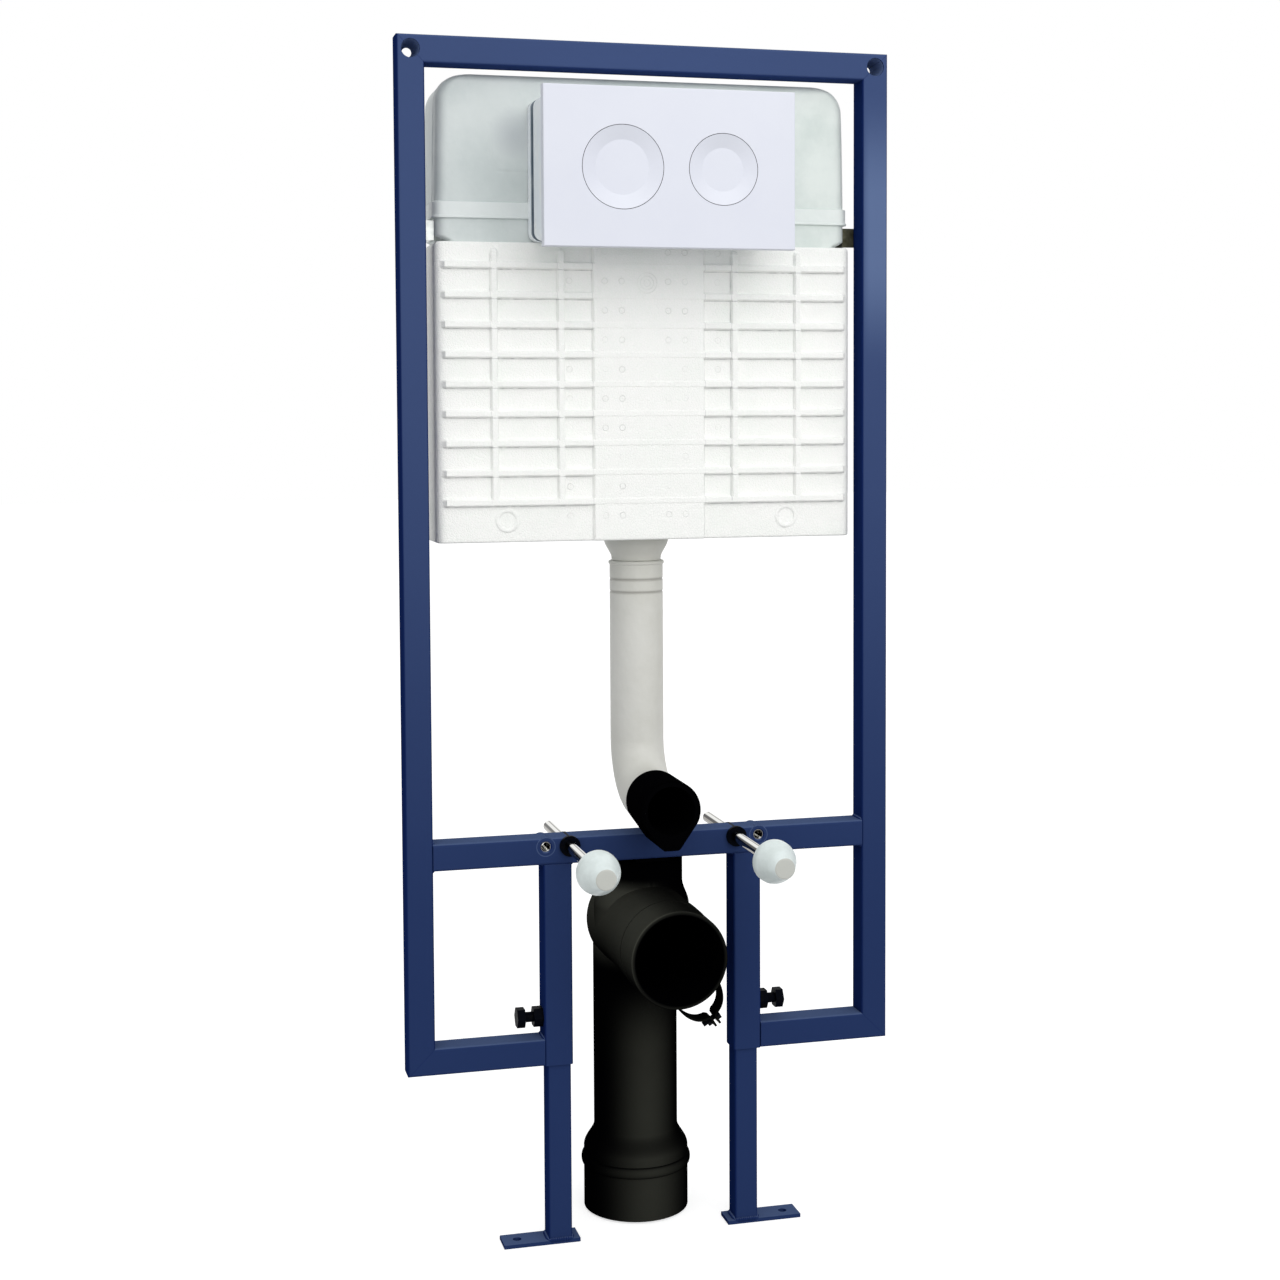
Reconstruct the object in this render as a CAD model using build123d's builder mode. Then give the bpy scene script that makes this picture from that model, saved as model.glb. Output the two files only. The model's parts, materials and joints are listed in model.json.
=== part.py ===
from build123d import *
import math
import os

# Wall-hung WC installation frame with a concealed cistern, in millimetres, +Z up.
# The front looks along -Y. The origin is the middle of the top rail's rear face.
# Heights are read above the floor and depths behind the front of the frame.

# Welded frame of rectangular tube
FRAME_WIDTH = 520.0
FRAME_TOP = 1244.0
FRAME_BOTTOM = 190.0
TUBE_FACE = 28.0
TUBE_DEPTH = 30.0
TUBE_WALL = 1.5
TUBE_CORNER = 3.0
CROSSBAR_BOTTOM = 401.0

# Holes for the wall fixings in the two top corners
WALL_HOLE_FRONT_D = 19.0
WALL_HOLE_REAR_D = 10.0

# Telescopic legs
SLEEVE_CENTRE = 102.5
SLEEVE_SIDE = 30.0
LEG_SIDE = 25.0
LEG_WALL = 2.0
LEG_SIDE_GAP = 0.3
LEG_TOP = 280.0
FOOT_PLATE_INNER = 81.0
FOOT_PLATE_LENGTH = 81.0
FOOT_PLATE_DEPTH = 28.0
FOOT_PLATE_THICKNESS = 4.0
FOOT_HOLE_X = 146.0
FOOT_HOLE_D = 9.0

# Clamp bolts that hold the legs
CLAMP_HEIGHT = 239.0
CLAMP_SHANK_D = 10.6
CLAMP_HOLE_GAP = 0.2
CLAMP_HEX = 19.0
CLAMP_NUT_LENGTH = 10.0
CLAMP_NECK = 9.0
CLAMP_HEAD = 8.5
CLAMP_TIP_GAP = 0.3

# Pan studs, their bushes and caps, and the second pair of pan holes
STUD_X = 90.0
SPARE_X = 115.0
STUD_RISE = 5.0
STUD_D = 12.0
STUD_CHAMFER = 1.0
STUD_GAP = 0.1
STUD_BEHIND = 105.0
CAP_FRONT = 163.0
CAP_LENGTH = 38.0
CAP_D = 44.0
CAP_FRONT_D = 20.5
CAP_SHOULDER = 8.0
STUD_IN_CAP = 18.0
BUSH_D = 18.0
BUSH_FLANGE_D = 21.5
BUSH_FLANGE = 4.0
BUSH_GAP = 0.1
SPARE_BUSH_D = 19.0
SPARE_THREAD_D = 10.5
SPARE_MOUTH = 1.3

# Cistern tank
TANK_SIDE_GAP = 12.0
TANK_WAIST = 9.0
TANK_TOP = 1211.0
TANK_STEP = 1041.5
TANK_BOTTOM = 742.0
TANK_FRONT = 20.0
TANK_DEPTH = 88.0
TANK_WALL = 3.0
TANK_CORNER = 34.0
TANK_EDGE = 9.0
BELT_TOP = 1082.0
BELT_BOTTOM = 1065.0
BELT_RISE = 3.0
SERVICE_MARGIN = 16.0

# Steel angles that hold the tank to the posts
ANGLE_HEIGHT = 20.0
ANGLE_MIDDLE = 1053.0
ANGLE_THICKNESS = 3.0
ANGLE_ON_POST = 20.0
ANGLE_ON_TANK = 30.0

# Ribbed foam cover
COVER_SIDE_GAP = 9.5
COVER_TOP = 1041.0
COVER_BOTTOM = 735.0
COVER_FRONT = 12.0
COVER_SIDE_DEPTH = 62.0
COVER_GAP = 0.3
COVER_EDGE = 5.0
RIB_RISE = 5.0
RIB_WIDTH = 6.5
RIB_COUNT = 9
RIB_TOP = 1017.5
RIB_PITCH = 30.2
RIB_END = 2.5
PAD_RISE = 1.2
STILE_X = (93.0, 162.5)
STILE_TOP = 1031.0
BAND_HALF = 59.0
PAD_X = 150.0
PAD_HEIGHT = 757.5
PAD_D = 25.0
PAD_DISH_D = 18.0
PAD_DISH = 2.5

# Flush plate with its two round buttons
PLATE_WIDTH = 258.0
PLATE_HEIGHT = 157.0
PLATE_MIDDLE = 1108.0
PLATE_FRONT = -81.0
PLATE_DEPTH = 11.0
PLATE_SKIN = 3.0
PLATE_RIM = 2.0
PLATE_EDGE = 1.0
PLATE_OVER_SIDE = 6.0
PLATE_OVER_TOP = 2.5
PLATE_OVER_BOTTOM = 11.5
LARGE_BUTTON_X = -49.0
LARGE_BUTTON_D = 82.0
LARGE_DISH_D = 54.0
SMALL_BUTTON_X = 54.0
SMALL_BUTTON_D = 70.5
SMALL_DISH_D = 43.0
BUTTON_GAP = 0.6
BUTTON_DISH = 3.5
BUTTON_FACE = 2.5
BUTTON_SKIRT = 12.0
GUIDE_WALL = 2.5
GUIDE_DEPTH = 16.0

# Box between the flush plate and the tank
ADAPTOR_WALL = 4.0
ADAPTOR_CORNER = 9.0
ADAPTOR_FLANGE = 2.5
ADAPTOR_FLANGE_RISE = 2.0
ADAPTOR_GROOVE = 3.0
ADAPTOR_GROOVE_DEPTH = 1.6

# Tank outlet and flush pipe
PIPE_BEHIND = 68.0
PIPE_D = 57.0
PIPE_WALL = 3.0
PIPE_TOP = 710.0
PIPE_BEND_R = 56.0
PIPE_OUTLET_RISE = 44.5
PIPE_END = -55.0
OUTLET_FLARE_D = 69.0
OUTLET_FLARE_BOTTOM = 728.0
OUTLET_GAP = 0.2
OUTLET_WALL = 3.0
OUTLET_REACH = 48.0

# Rubber sleeve on the flush pipe
SLEEVE_REAR = -5.0
SLEEVE_FRONT = -71.0
RUBBER_GAP = 0.1
RUBBER_WALL = 2.2
RUBBER_MOUTH_D = 50.0
RUBBER_NOSE = 10.0
RUBBER_NOSE_WIDTH = 17.0

# Waste bend
WASTE_BEHIND = 83.5
WASTE_D = 91.0
WASTE_WALL = 4.0
BARREL_D = 100.0
BARREL_DROP = 101.0
BARREL_FRONT = -100.5
BARREL_SOCKET = 60.0
BARREL_STOP = 2.0
STUB_BEHIND = 53.0
STUB_D = 88.0
STUB_REACH = 60.0
STUB_CONE_TOP = 39.0
STUB_CONE_BOTTOM = 19.0
STUB_CONE_D = 98.0
STUB_CAP = 5.0
SOCKET_D = 113.5
SOCKET_BORE_D = 105.0
SOCKET_BOTTOM = 2.0
SOCKET_SHOULDER = 86.0
SOCKET_NECK = 98.0
SOCKET_SEAT = 76.0
SOCKET_GAP = 0.1
SOCKET_NECK_WALL = 3.0
SPIGOT_BOTTOM = 78.0
SOCKET_BEAD_D = 119.0
SOCKET_BEAD_HEIGHT = 58.0
SOCKET_BEAD_R = 6.0

# Strap clamp and hanger of the waste bend
STRAP_BEHIND = -45.0
STRAP_WIDTH = 20.0
STRAP_THICKNESS = 2.5
STRAP_GAP = 0.3
STRAP_EAR = 26.0
STRAP_BOLT_OUT = 16.0
STRAP_EAR_GAP = 8.0
STRAP_EAR_ANGLE = -57.0
STRAP_BOLT_D = 6.0
STRAP_BOLT_REACH = 11.0
STRAP_BOLT_HEX = 11.0
STRAP_BOLT_HEAD = 5.0
HANGER_WIDTH = 36.0
HANGER_THICKNESS = 4.0
HANGER_REAR = 60.0
HANGER_BOLT_D = 10.0

# Places that follow from the sizes above
ORIGIN_HEIGHT = FRAME_TOP - TUBE_FACE / 2
HALF_WIDTH = FRAME_WIDTH / 2
POST_INNER = HALF_WIDTH - TUBE_FACE
STUD_HEIGHT = CROSSBAR_BOTTOM + TUBE_FACE / 2 + STUD_RISE
PIPE_OUTLET_HEIGHT = STUD_HEIGHT + PIPE_OUTLET_RISE
BARREL_HEIGHT = STUD_HEIGHT - BARREL_DROP
STUB_TOP = BARREL_HEIGHT + STUB_REACH
TANK_HALF = POST_INNER - TANK_SIDE_GAP
TANK_LOWER_HALF = TANK_HALF - TANK_WAIST
COVER_HALF = POST_INNER - COVER_SIDE_GAP
ADAPTOR_HALF = PLATE_WIDTH / 2 - PLATE_OVER_SIDE
ADAPTOR_TOP = PLATE_MIDDLE + PLATE_HEIGHT / 2 - PLATE_OVER_TOP
ADAPTOR_BOTTOM = PLATE_MIDDLE - PLATE_HEIGHT / 2 + PLATE_OVER_BOTTOM
SLEEVE_OUTER = SLEEVE_CENTRE + SLEEVE_SIDE / 2
SLEEVE_INNER = SLEEVE_CENTRE - SLEEVE_SIDE / 2
LEG_INNER = SLEEVE_INNER + TUBE_WALL + LEG_SIDE_GAP
LEG_OUTER = LEG_INNER + LEG_SIDE
LEG_CENTRE = (LEG_INNER + LEG_OUTER) / 2
MIRROR = ((-1, "left"), (1, "right"))


def up(height):
    """Returns the z of a height above the floor."""
    return height - ORIGIN_HEIGHT


def back(depth):
    """Returns the y of a distance behind the frame's front."""
    return depth - TUBE_DEPTH


def facing(depth):
    """Returns the plane that looks forward from a depth: its x is +X and its y is +Z."""
    return Plane.XZ.offset(-back(depth))


def rail_plane(side, start, height):
    """Returns the plane across a rail that runs along X, outward on a side, from a start and at a height."""
    return Plane((start, back(TUBE_DEPTH / 2), up(height)), x_dir=(0, 1, 0), z_dir=(side, 0, 0))


def write(part, name):
    """Labels a finished piece and writes it as a STEP file."""
    part.label = name
    export_step(part, f"parts/{name}.step")


def tube_section(plane, width, height, wall):
    """Returns the section of a rounded rectangular tube."""
    with BuildSketch(plane) as section:
        RectangleRounded(width, height, TUBE_CORNER)
        offset(amount=-wall, mode=Mode.SUBTRACT)
    return section.sketch


def front_outline(points):
    """Returns the face inside an outline drawn in front view."""
    with BuildSketch(Plane.XZ) as outline:
        with BuildLine():
            Polyline(*points, close=True)
        make_face()
    return outline.sketch


def corner_holes(diameter):
    """Returns the circles of the wall fixings in both top corners, half way through the tube."""
    spots = [(side * (HALF_WIDTH - TUBE_FACE / 2), up(FRAME_TOP - TUBE_FACE / 2)) for side in (-1, 1)]
    with BuildSketch(facing(TUBE_DEPTH / 2)) as holes:
        with Locations(*spots):
            Circle(diameter / 2)
    return holes.sketch


def make_posts():
    """Builds the two mitred posts."""
    for side, name in MIRROR:
        with BuildPart() as post:
            middle = Plane((side * (HALF_WIDTH - TUBE_FACE / 2), back(TUBE_DEPTH / 2), up(FRAME_BOTTOM)))
            extrude(tube_section(middle, TUBE_FACE, TUBE_DEPTH, TUBE_WALL), amount=FRAME_TOP - FRAME_BOTTOM)
            mitred = front_outline([
                (side * HALF_WIDTH, up(FRAME_BOTTOM)),
                (side * HALF_WIDTH, up(FRAME_TOP)),
                (side * POST_INNER, up(FRAME_TOP - TUBE_FACE)),
                (side * POST_INNER, up(FRAME_BOTTOM + TUBE_FACE)),
            ])
            extrude(mitred, amount=TUBE_DEPTH, both=True, mode=Mode.INTERSECT)
            extrude(corner_holes(WALL_HOLE_FRONT_D), amount=TUBE_DEPTH, mode=Mode.SUBTRACT)
            extrude(corner_holes(WALL_HOLE_REAR_D), amount=-TUBE_DEPTH, mode=Mode.SUBTRACT)
        write(post.part, f"{name}_post")


def make_top_rail():
    """Builds the top rail, mitred at both ends."""
    with BuildPart() as rail:
        start = rail_plane(1, -HALF_WIDTH, FRAME_TOP - TUBE_FACE / 2)
        extrude(tube_section(start, TUBE_DEPTH, TUBE_FACE, TUBE_WALL), amount=FRAME_WIDTH)
        mitred = front_outline([
            (-HALF_WIDTH, up(FRAME_TOP)),
            (HALF_WIDTH, up(FRAME_TOP)),
            (POST_INNER, up(FRAME_TOP - TUBE_FACE)),
            (-POST_INNER, up(FRAME_TOP - TUBE_FACE)),
        ])
        extrude(mitred, amount=TUBE_DEPTH, both=True, mode=Mode.INTERSECT)
        extrude(corner_holes(WALL_HOLE_FRONT_D), amount=TUBE_DEPTH, mode=Mode.SUBTRACT)
        extrude(corner_holes(WALL_HOLE_REAR_D), amount=-TUBE_DEPTH, mode=Mode.SUBTRACT)
    write(rail.part, "top_rail")


def make_bottom_rails():
    """Builds the short rails from the mitred bottom corners to the leg sleeves."""
    for side, name in MIRROR:
        with BuildPart() as rail:
            start = rail_plane(side, side * SLEEVE_OUTER, FRAME_BOTTOM + TUBE_FACE / 2)
            extrude(tube_section(start, TUBE_DEPTH, TUBE_FACE, TUBE_WALL), amount=HALF_WIDTH - SLEEVE_OUTER)
            mitred = front_outline([
                (side * SLEEVE_OUTER, up(FRAME_BOTTOM)),
                (side * HALF_WIDTH, up(FRAME_BOTTOM)),
                (side * POST_INNER, up(FRAME_BOTTOM + TUBE_FACE)),
                (side * SLEEVE_OUTER, up(FRAME_BOTTOM + TUBE_FACE)),
            ])
            extrude(mitred, amount=TUBE_DEPTH, both=True, mode=Mode.INTERSECT)
        write(rail.part, f"{name}_bottom_rail")


def make_crossbar():
    """Builds the crossbar that carries the pan, bored for its four bushes."""
    with BuildPart() as bar:
        start = rail_plane(1, -POST_INNER, CROSSBAR_BOTTOM + TUBE_FACE / 2)
        extrude(tube_section(start, TUBE_DEPTH, TUBE_FACE, TUBE_WALL), amount=2 * POST_INNER)
        with BuildSketch(facing(TUBE_DEPTH)):
            with Locations((-STUD_X, up(STUD_HEIGHT)), (STUD_X, up(STUD_HEIGHT))):
                Circle(BUSH_D / 2 + BUSH_GAP)
            with Locations((-SPARE_X, up(STUD_HEIGHT)), (SPARE_X, up(STUD_HEIGHT))):
                Circle(SPARE_BUSH_D / 2 + BUSH_GAP)
        extrude(amount=TUBE_DEPTH, mode=Mode.SUBTRACT)
    write(bar.part, "crossbar")


def make_sleeves():
    """Builds the square sleeves that guide the legs, each bored on its outer side for the clamp bolt."""
    for side, name in MIRROR:
        with BuildPart() as sleeve:
            foot = Plane((side * SLEEVE_CENTRE, back(TUBE_DEPTH / 2), up(FRAME_BOTTOM)))
            extrude(tube_section(foot, SLEEVE_SIDE, SLEEVE_SIDE, TUBE_WALL), amount=CROSSBAR_BOTTOM - FRAME_BOTTOM)
            with BuildSketch(clamp_plane(side, SLEEVE_CENTRE)):
                Circle(CLAMP_SHANK_D / 2 + CLAMP_HOLE_GAP)
            extrude(amount=SLEEVE_SIDE, mode=Mode.SUBTRACT)
        write(sleeve.part, f"{name}_leg_sleeve")


def clamp_plane(side, distance):
    """Returns the plane across a clamp bolt's axis, looking outward, at a distance from the middle."""
    return Plane((side * distance, back(TUBE_DEPTH / 2), up(CLAMP_HEIGHT)), x_dir=(0, 1, 0), z_dir=(side, 0, 0))


def make_legs():
    """Builds the leg tubes that slide in the sleeves, and their foot plates."""
    for side, name in MIRROR:
        with BuildPart() as leg:
            foot = Plane((side * LEG_CENTRE, back(TUBE_DEPTH / 2), up(FOOT_PLATE_THICKNESS)))
            extrude(tube_section(foot, LEG_SIDE, LEG_SIDE, LEG_WALL), amount=LEG_TOP - FOOT_PLATE_THICKNESS)
        write(leg.part, f"{name}_leg_tube")

        with BuildPart() as plate:
            middle = side * (FOOT_PLATE_INNER + FOOT_PLATE_LENGTH / 2)
            with BuildSketch(Plane((middle, back(TUBE_DEPTH / 2), up(0)))):
                Rectangle(FOOT_PLATE_LENGTH, FOOT_PLATE_DEPTH)
                with Locations((side * FOOT_HOLE_X - middle, 0)):
                    Circle(FOOT_HOLE_D / 2, mode=Mode.SUBTRACT)
            extrude(amount=FOOT_PLATE_THICKNESS)
        write(plate.part, f"{name}_foot_plate")


def make_clamps():
    """Builds the welded nut and the clamp bolt on the outer side of each sleeve."""
    tip = LEG_OUTER + CLAMP_TIP_GAP
    head = SLEEVE_OUTER + CLAMP_NUT_LENGTH + CLAMP_NECK
    for side, name in MIRROR:
        with BuildPart() as nut:
            with BuildSketch(clamp_plane(side, SLEEVE_OUTER)):
                RegularPolygon(CLAMP_HEX / 2, 6, major_radius=False)
                Circle(CLAMP_SHANK_D / 2 + CLAMP_HOLE_GAP, mode=Mode.SUBTRACT)
            extrude(amount=CLAMP_NUT_LENGTH)
        write(nut.part, f"{name}_clamp_nut")

        with BuildPart() as bolt:
            with BuildSketch(clamp_plane(side, tip)):
                Circle(CLAMP_SHANK_D / 2)
            extrude(amount=head - tip)
            with BuildSketch(clamp_plane(side, head)):
                RegularPolygon(CLAMP_HEX / 2, 6, major_radius=False)
            extrude(amount=CLAMP_HEAD)
        write(bolt.part, f"{name}_clamp_bolt")


def make_pan_fixings():
    """Builds the studs with their flanged bushes and caps, and the spare threaded bushes."""
    for side, name in MIRROR:
        stud_x = side * STUD_X
        with BuildPart() as bush:
            with BuildSketch(facing(TUBE_DEPTH)):
                with Locations((stud_x, up(STUD_HEIGHT))):
                    Circle(BUSH_D / 2)
                    Circle(STUD_D / 2 + STUD_GAP, mode=Mode.SUBTRACT)
            extrude(amount=TUBE_DEPTH)
            with BuildSketch(facing(0)):
                with Locations((stud_x, up(STUD_HEIGHT))):
                    Circle(BUSH_FLANGE_D / 2)
                    Circle(STUD_D / 2 + STUD_GAP, mode=Mode.SUBTRACT)
            extrude(amount=BUSH_FLANGE)
        write(bush.part, f"{name}_stud_bush")

        with BuildPart() as stud:
            with BuildSketch(facing(STUD_BEHIND)):
                with Locations((stud_x, up(STUD_HEIGHT))):
                    Circle(STUD_D / 2)
            extrude(amount=STUD_BEHIND + CAP_FRONT - CAP_LENGTH + STUD_IN_CAP)
            chamfer(stud.edges().filter_by(GeomType.CIRCLE), STUD_CHAMFER)
        write(stud.part, f"{name}_stud")

        with BuildPart() as cap:
            with BuildSketch(Plane.YZ.offset(stud_x)):
                with BuildLine():
                    rear = back(CAP_LENGTH - CAP_FRONT)
                    shoulder = rear - CAP_SHOULDER
                    front = back(-CAP_FRONT)
                    middle = up(STUD_HEIGHT)
                    bore_end = rear - STUD_IN_CAP - STUD_GAP
                    Polyline(
                        (bore_end, middle),
                        (bore_end, middle + STUD_D / 2 + STUD_GAP),
                        (rear, middle + STUD_D / 2 + STUD_GAP),
                        (rear, middle + CAP_D / 2),
                        (shoulder, middle + CAP_D / 2),
                        (front, middle + CAP_FRONT_D / 2),
                        (front, middle),
                        close=True,
                    )
                make_face()
            revolve(axis=Axis((stud_x, 0, middle), (0, 1, 0)))
        write(cap.part, f"{name}_stud_cap")

        with BuildPart() as spare:
            with BuildSketch(facing(TUBE_DEPTH)):
                with Locations((side * SPARE_X, up(STUD_HEIGHT))):
                    Circle(SPARE_BUSH_D / 2)
                    Circle(SPARE_THREAD_D / 2, mode=Mode.SUBTRACT)
            extrude(amount=TUBE_DEPTH)
            mouth = spare.edges().filter_by(GeomType.CIRCLE).group_by(Axis.Y)[0].sort_by(SortBy.RADIUS)[0]
            chamfer(mouth, SPARE_MOUTH)
        write(spare.part, f"{name}_spare_bush")


def make_tank():
    """Builds the hollow cistern tank with its belt, narrow lower body and service opening."""
    rear = TANK_FRONT + TANK_DEPTH
    with BuildPart() as tank:
        with BuildSketch(facing(rear)):
            with Locations((0, up((TANK_TOP + TANK_STEP) / 2))):
                upper = Rectangle(2 * TANK_HALF, TANK_TOP - TANK_STEP)
            fillet(upper.vertices().group_by(Axis.Y)[-1], TANK_CORNER)
        extrude(amount=TANK_DEPTH)
        fillet(tank.faces().filter_by(Axis.Y).edges(), TANK_EDGE)
        with BuildSketch(facing(rear)):
            with Locations((0, up((BELT_TOP + BELT_BOTTOM) / 2))):
                Rectangle(2 * (TANK_HALF + BELT_RISE), BELT_TOP - BELT_BOTTOM)
        extrude(amount=TANK_DEPTH + BELT_RISE)
        with BuildSketch(facing(TANK_FRONT)):
            with Locations((0, up((ADAPTOR_TOP + ADAPTOR_BOTTOM) / 2))):
                Rectangle(2 * (ADAPTOR_HALF + COVER_GAP), ADAPTOR_TOP - ADAPTOR_BOTTOM)
        extrude(amount=BELT_RISE, mode=Mode.SUBTRACT)
        with BuildSketch(Plane.XY.offset(up(TANK_BOTTOM))):
            with Locations((0, back(TANK_FRONT + TANK_DEPTH / 2))):
                RectangleRounded(2 * TANK_LOWER_HALF, TANK_DEPTH, TANK_EDGE)
        extrude(amount=TANK_STEP - TANK_BOTTOM + TANK_WALL)
        with BuildSketch(facing(rear - TANK_WALL)):
            with Locations((0, up((TANK_TOP + TANK_STEP) / 2))):
                inner = Rectangle(2 * (TANK_HALF - TANK_WALL), TANK_TOP - TANK_STEP - 2 * TANK_WALL)
            fillet(inner.vertices().group_by(Axis.Y)[-1], TANK_CORNER - TANK_WALL)
        extrude(amount=TANK_DEPTH - 2 * TANK_WALL, mode=Mode.SUBTRACT)
        with BuildSketch(Plane.XY.offset(up(TANK_BOTTOM + TANK_WALL))):
            with Locations((0, back(TANK_FRONT + TANK_DEPTH / 2))):
                RectangleRounded(2 * (TANK_LOWER_HALF - TANK_WALL), TANK_DEPTH - 2 * TANK_WALL, TANK_EDGE - TANK_WALL)
        extrude(amount=TANK_STEP - TANK_BOTTOM, mode=Mode.SUBTRACT)
        with BuildSketch(facing(TANK_FRONT + TANK_EDGE)):
            with Locations((0, up((ADAPTOR_TOP + ADAPTOR_BOTTOM) / 2))):
                width = 2 * (ADAPTOR_HALF - SERVICE_MARGIN)
                RectangleRounded(width, ADAPTOR_TOP - ADAPTOR_BOTTOM - 2 * SERVICE_MARGIN, TANK_EDGE)
        extrude(amount=TANK_DEPTH, mode=Mode.SUBTRACT)
        with BuildSketch(Plane.XY.offset(up(TANK_BOTTOM))):
            with Locations((0, back(PIPE_BEHIND))):
                Circle(PIPE_D / 2 - PIPE_WALL - OUTLET_GAP)
        extrude(amount=TANK_WALL, mode=Mode.SUBTRACT)
    write(tank.part, "cistern_tank")


def make_tank_angles():
    """Builds the steel angle on the back of each post that holds the tank's side."""
    for side, name in MIRROR:
        with BuildPart() as angle:
            with BuildSketch(Plane.XY.offset(up(ANGLE_MIDDLE - ANGLE_HEIGHT / 2))):
                with BuildLine():
                    wall = side * TANK_HALF
                    Polyline(
                        (wall, back(TUBE_DEPTH)),
                        (side * (POST_INNER + ANGLE_ON_POST), back(TUBE_DEPTH)),
                        (side * (POST_INNER + ANGLE_ON_POST), back(TUBE_DEPTH + ANGLE_THICKNESS)),
                        (wall + side * ANGLE_THICKNESS, back(TUBE_DEPTH + ANGLE_THICKNESS)),
                        (wall + side * ANGLE_THICKNESS, back(TUBE_DEPTH + ANGLE_ON_TANK)),
                        (wall, back(TUBE_DEPTH + ANGLE_ON_TANK)),
                        close=True,
                    )
                make_face()
            extrude(amount=ANGLE_HEIGHT)
        write(angle.part, f"{name}_tank_angle")


def make_cover():
    """Builds the foam cover that wraps the tank's lower body, with its ribs, stiles and middle band."""
    with BuildPart() as cover:
        with BuildSketch(Plane.XY.offset(up(COVER_BOTTOM))):
            with Locations((0, back(COVER_FRONT + COVER_SIDE_DEPTH / 2))):
                RectangleRounded(2 * COVER_HALF, COVER_SIDE_DEPTH, COVER_EDGE)
            reach = TANK_DEPTH + 2 * COVER_GAP
            with Locations((0, back(TANK_FRONT - COVER_GAP + reach / 2))):
                RectangleRounded(2 * (TANK_LOWER_HALF + COVER_GAP), reach, TANK_EDGE + COVER_GAP, mode=Mode.SUBTRACT)
        extrude(amount=COVER_TOP - COVER_BOTTOM)
        rib_heights = [RIB_TOP - RIB_PITCH * n for n in range(RIB_COUNT)]
        with BuildSketch(facing(COVER_FRONT)):
            with Locations(*[(0, up(height)) for height in rib_heights]):
                SlotOverall(2 * (COVER_HALF - RIB_END), RIB_WIDTH)
            stile_top = STILE_TOP
            stile_bottom = rib_heights[-1]
            stiles = [(side * x, up((stile_top + stile_bottom) / 2)) for side in (-1, 1) for x in STILE_X]
            with Locations(*stiles):
                Rectangle(RIB_WIDTH, stile_top - stile_bottom)
            with Locations((0, up((COVER_TOP + COVER_BOTTOM) / 2))):
                Rectangle(2 * BAND_HALF, COVER_TOP - COVER_BOTTOM)
        extrude(amount=RIB_RISE)
        with BuildSketch(facing(COVER_FRONT)):
            with Locations((-PAD_X, up(PAD_HEIGHT)), (PAD_X, up(PAD_HEIGHT))):
                Circle(PAD_D / 2)
        extrude(amount=PAD_RISE)
        with BuildSketch(facing(COVER_FRONT - PAD_RISE)):
            with Locations((-PAD_X, up(PAD_HEIGHT)), (PAD_X, up(PAD_HEIGHT))):
                Circle(PAD_DISH_D / 2)
        extrude(amount=-PAD_DISH, mode=Mode.SUBTRACT)
    write(cover.part, "insulation_cover")


BUTTONS = (
    ("large_button", LARGE_BUTTON_X, LARGE_BUTTON_D, LARGE_DISH_D),
    ("small_button", SMALL_BUTTON_X, SMALL_BUTTON_D, SMALL_DISH_D),
)


def make_plate():
    """Builds the flush plate as a shallow tray with a round guide behind each button hole."""
    with BuildPart() as plate:
        with BuildSketch(facing(PLATE_FRONT + PLATE_DEPTH)):
            with Locations((0, up(PLATE_MIDDLE))):
                Rectangle(PLATE_WIDTH, PLATE_HEIGHT)
        extrude(amount=PLATE_DEPTH)
        fillet(plate.faces().sort_by(Axis.Y)[0].edges(), PLATE_EDGE)
        with BuildSketch(facing(PLATE_FRONT + PLATE_SKIN)):
            with Locations((0, up(PLATE_MIDDLE))):
                Rectangle(PLATE_WIDTH - 2 * PLATE_RIM, PLATE_HEIGHT - 2 * PLATE_RIM)
        extrude(amount=-PLATE_DEPTH, mode=Mode.SUBTRACT)
        with BuildSketch(facing(PLATE_FRONT + PLATE_SKIN)):
            for _, x, diameter, _ in BUTTONS:
                with Locations((x, up(PLATE_MIDDLE))):
                    Circle(diameter / 2 + BUTTON_GAP + GUIDE_WALL)
        extrude(amount=-(GUIDE_DEPTH - PLATE_SKIN))
        with BuildSketch(facing(PLATE_FRONT)):
            for _, x, diameter, _ in BUTTONS:
                with Locations((x, up(PLATE_MIDDLE))):
                    Circle(diameter / 2 + BUTTON_GAP)
        extrude(amount=-GUIDE_DEPTH, mode=Mode.SUBTRACT)
    write(plate.part, "flush_plate")


def make_buttons():
    """Builds the dished round buttons, each a cup that is open to the rear."""
    for name, x, diameter, dish in BUTTONS:
        with BuildPart() as button:
            with BuildSketch(Plane.YZ.offset(x)):
                with BuildLine():
                    front = back(PLATE_FRONT)
                    middle = up(PLATE_MIDDLE)
                    Polyline(
                        (front + BUTTON_DISH, middle),
                        (front + BUTTON_DISH, middle + dish / 2),
                        (front, middle + diameter / 2),
                        (front + BUTTON_SKIRT, middle + diameter / 2),
                        (front + BUTTON_SKIRT, middle + diameter / 2 - BUTTON_FACE),
                        (front + BUTTON_FACE + BUTTON_DISH / 3, middle + diameter / 2 - BUTTON_FACE),
                        (front + BUTTON_DISH + BUTTON_FACE, middle + dish / 2),
                        (front + BUTTON_DISH + BUTTON_FACE, middle),
                        close=True,
                    )
                make_face()
            revolve(axis=Axis((x, 0, middle), (0, 1, 0)))
        write(button.part, name)


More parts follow.
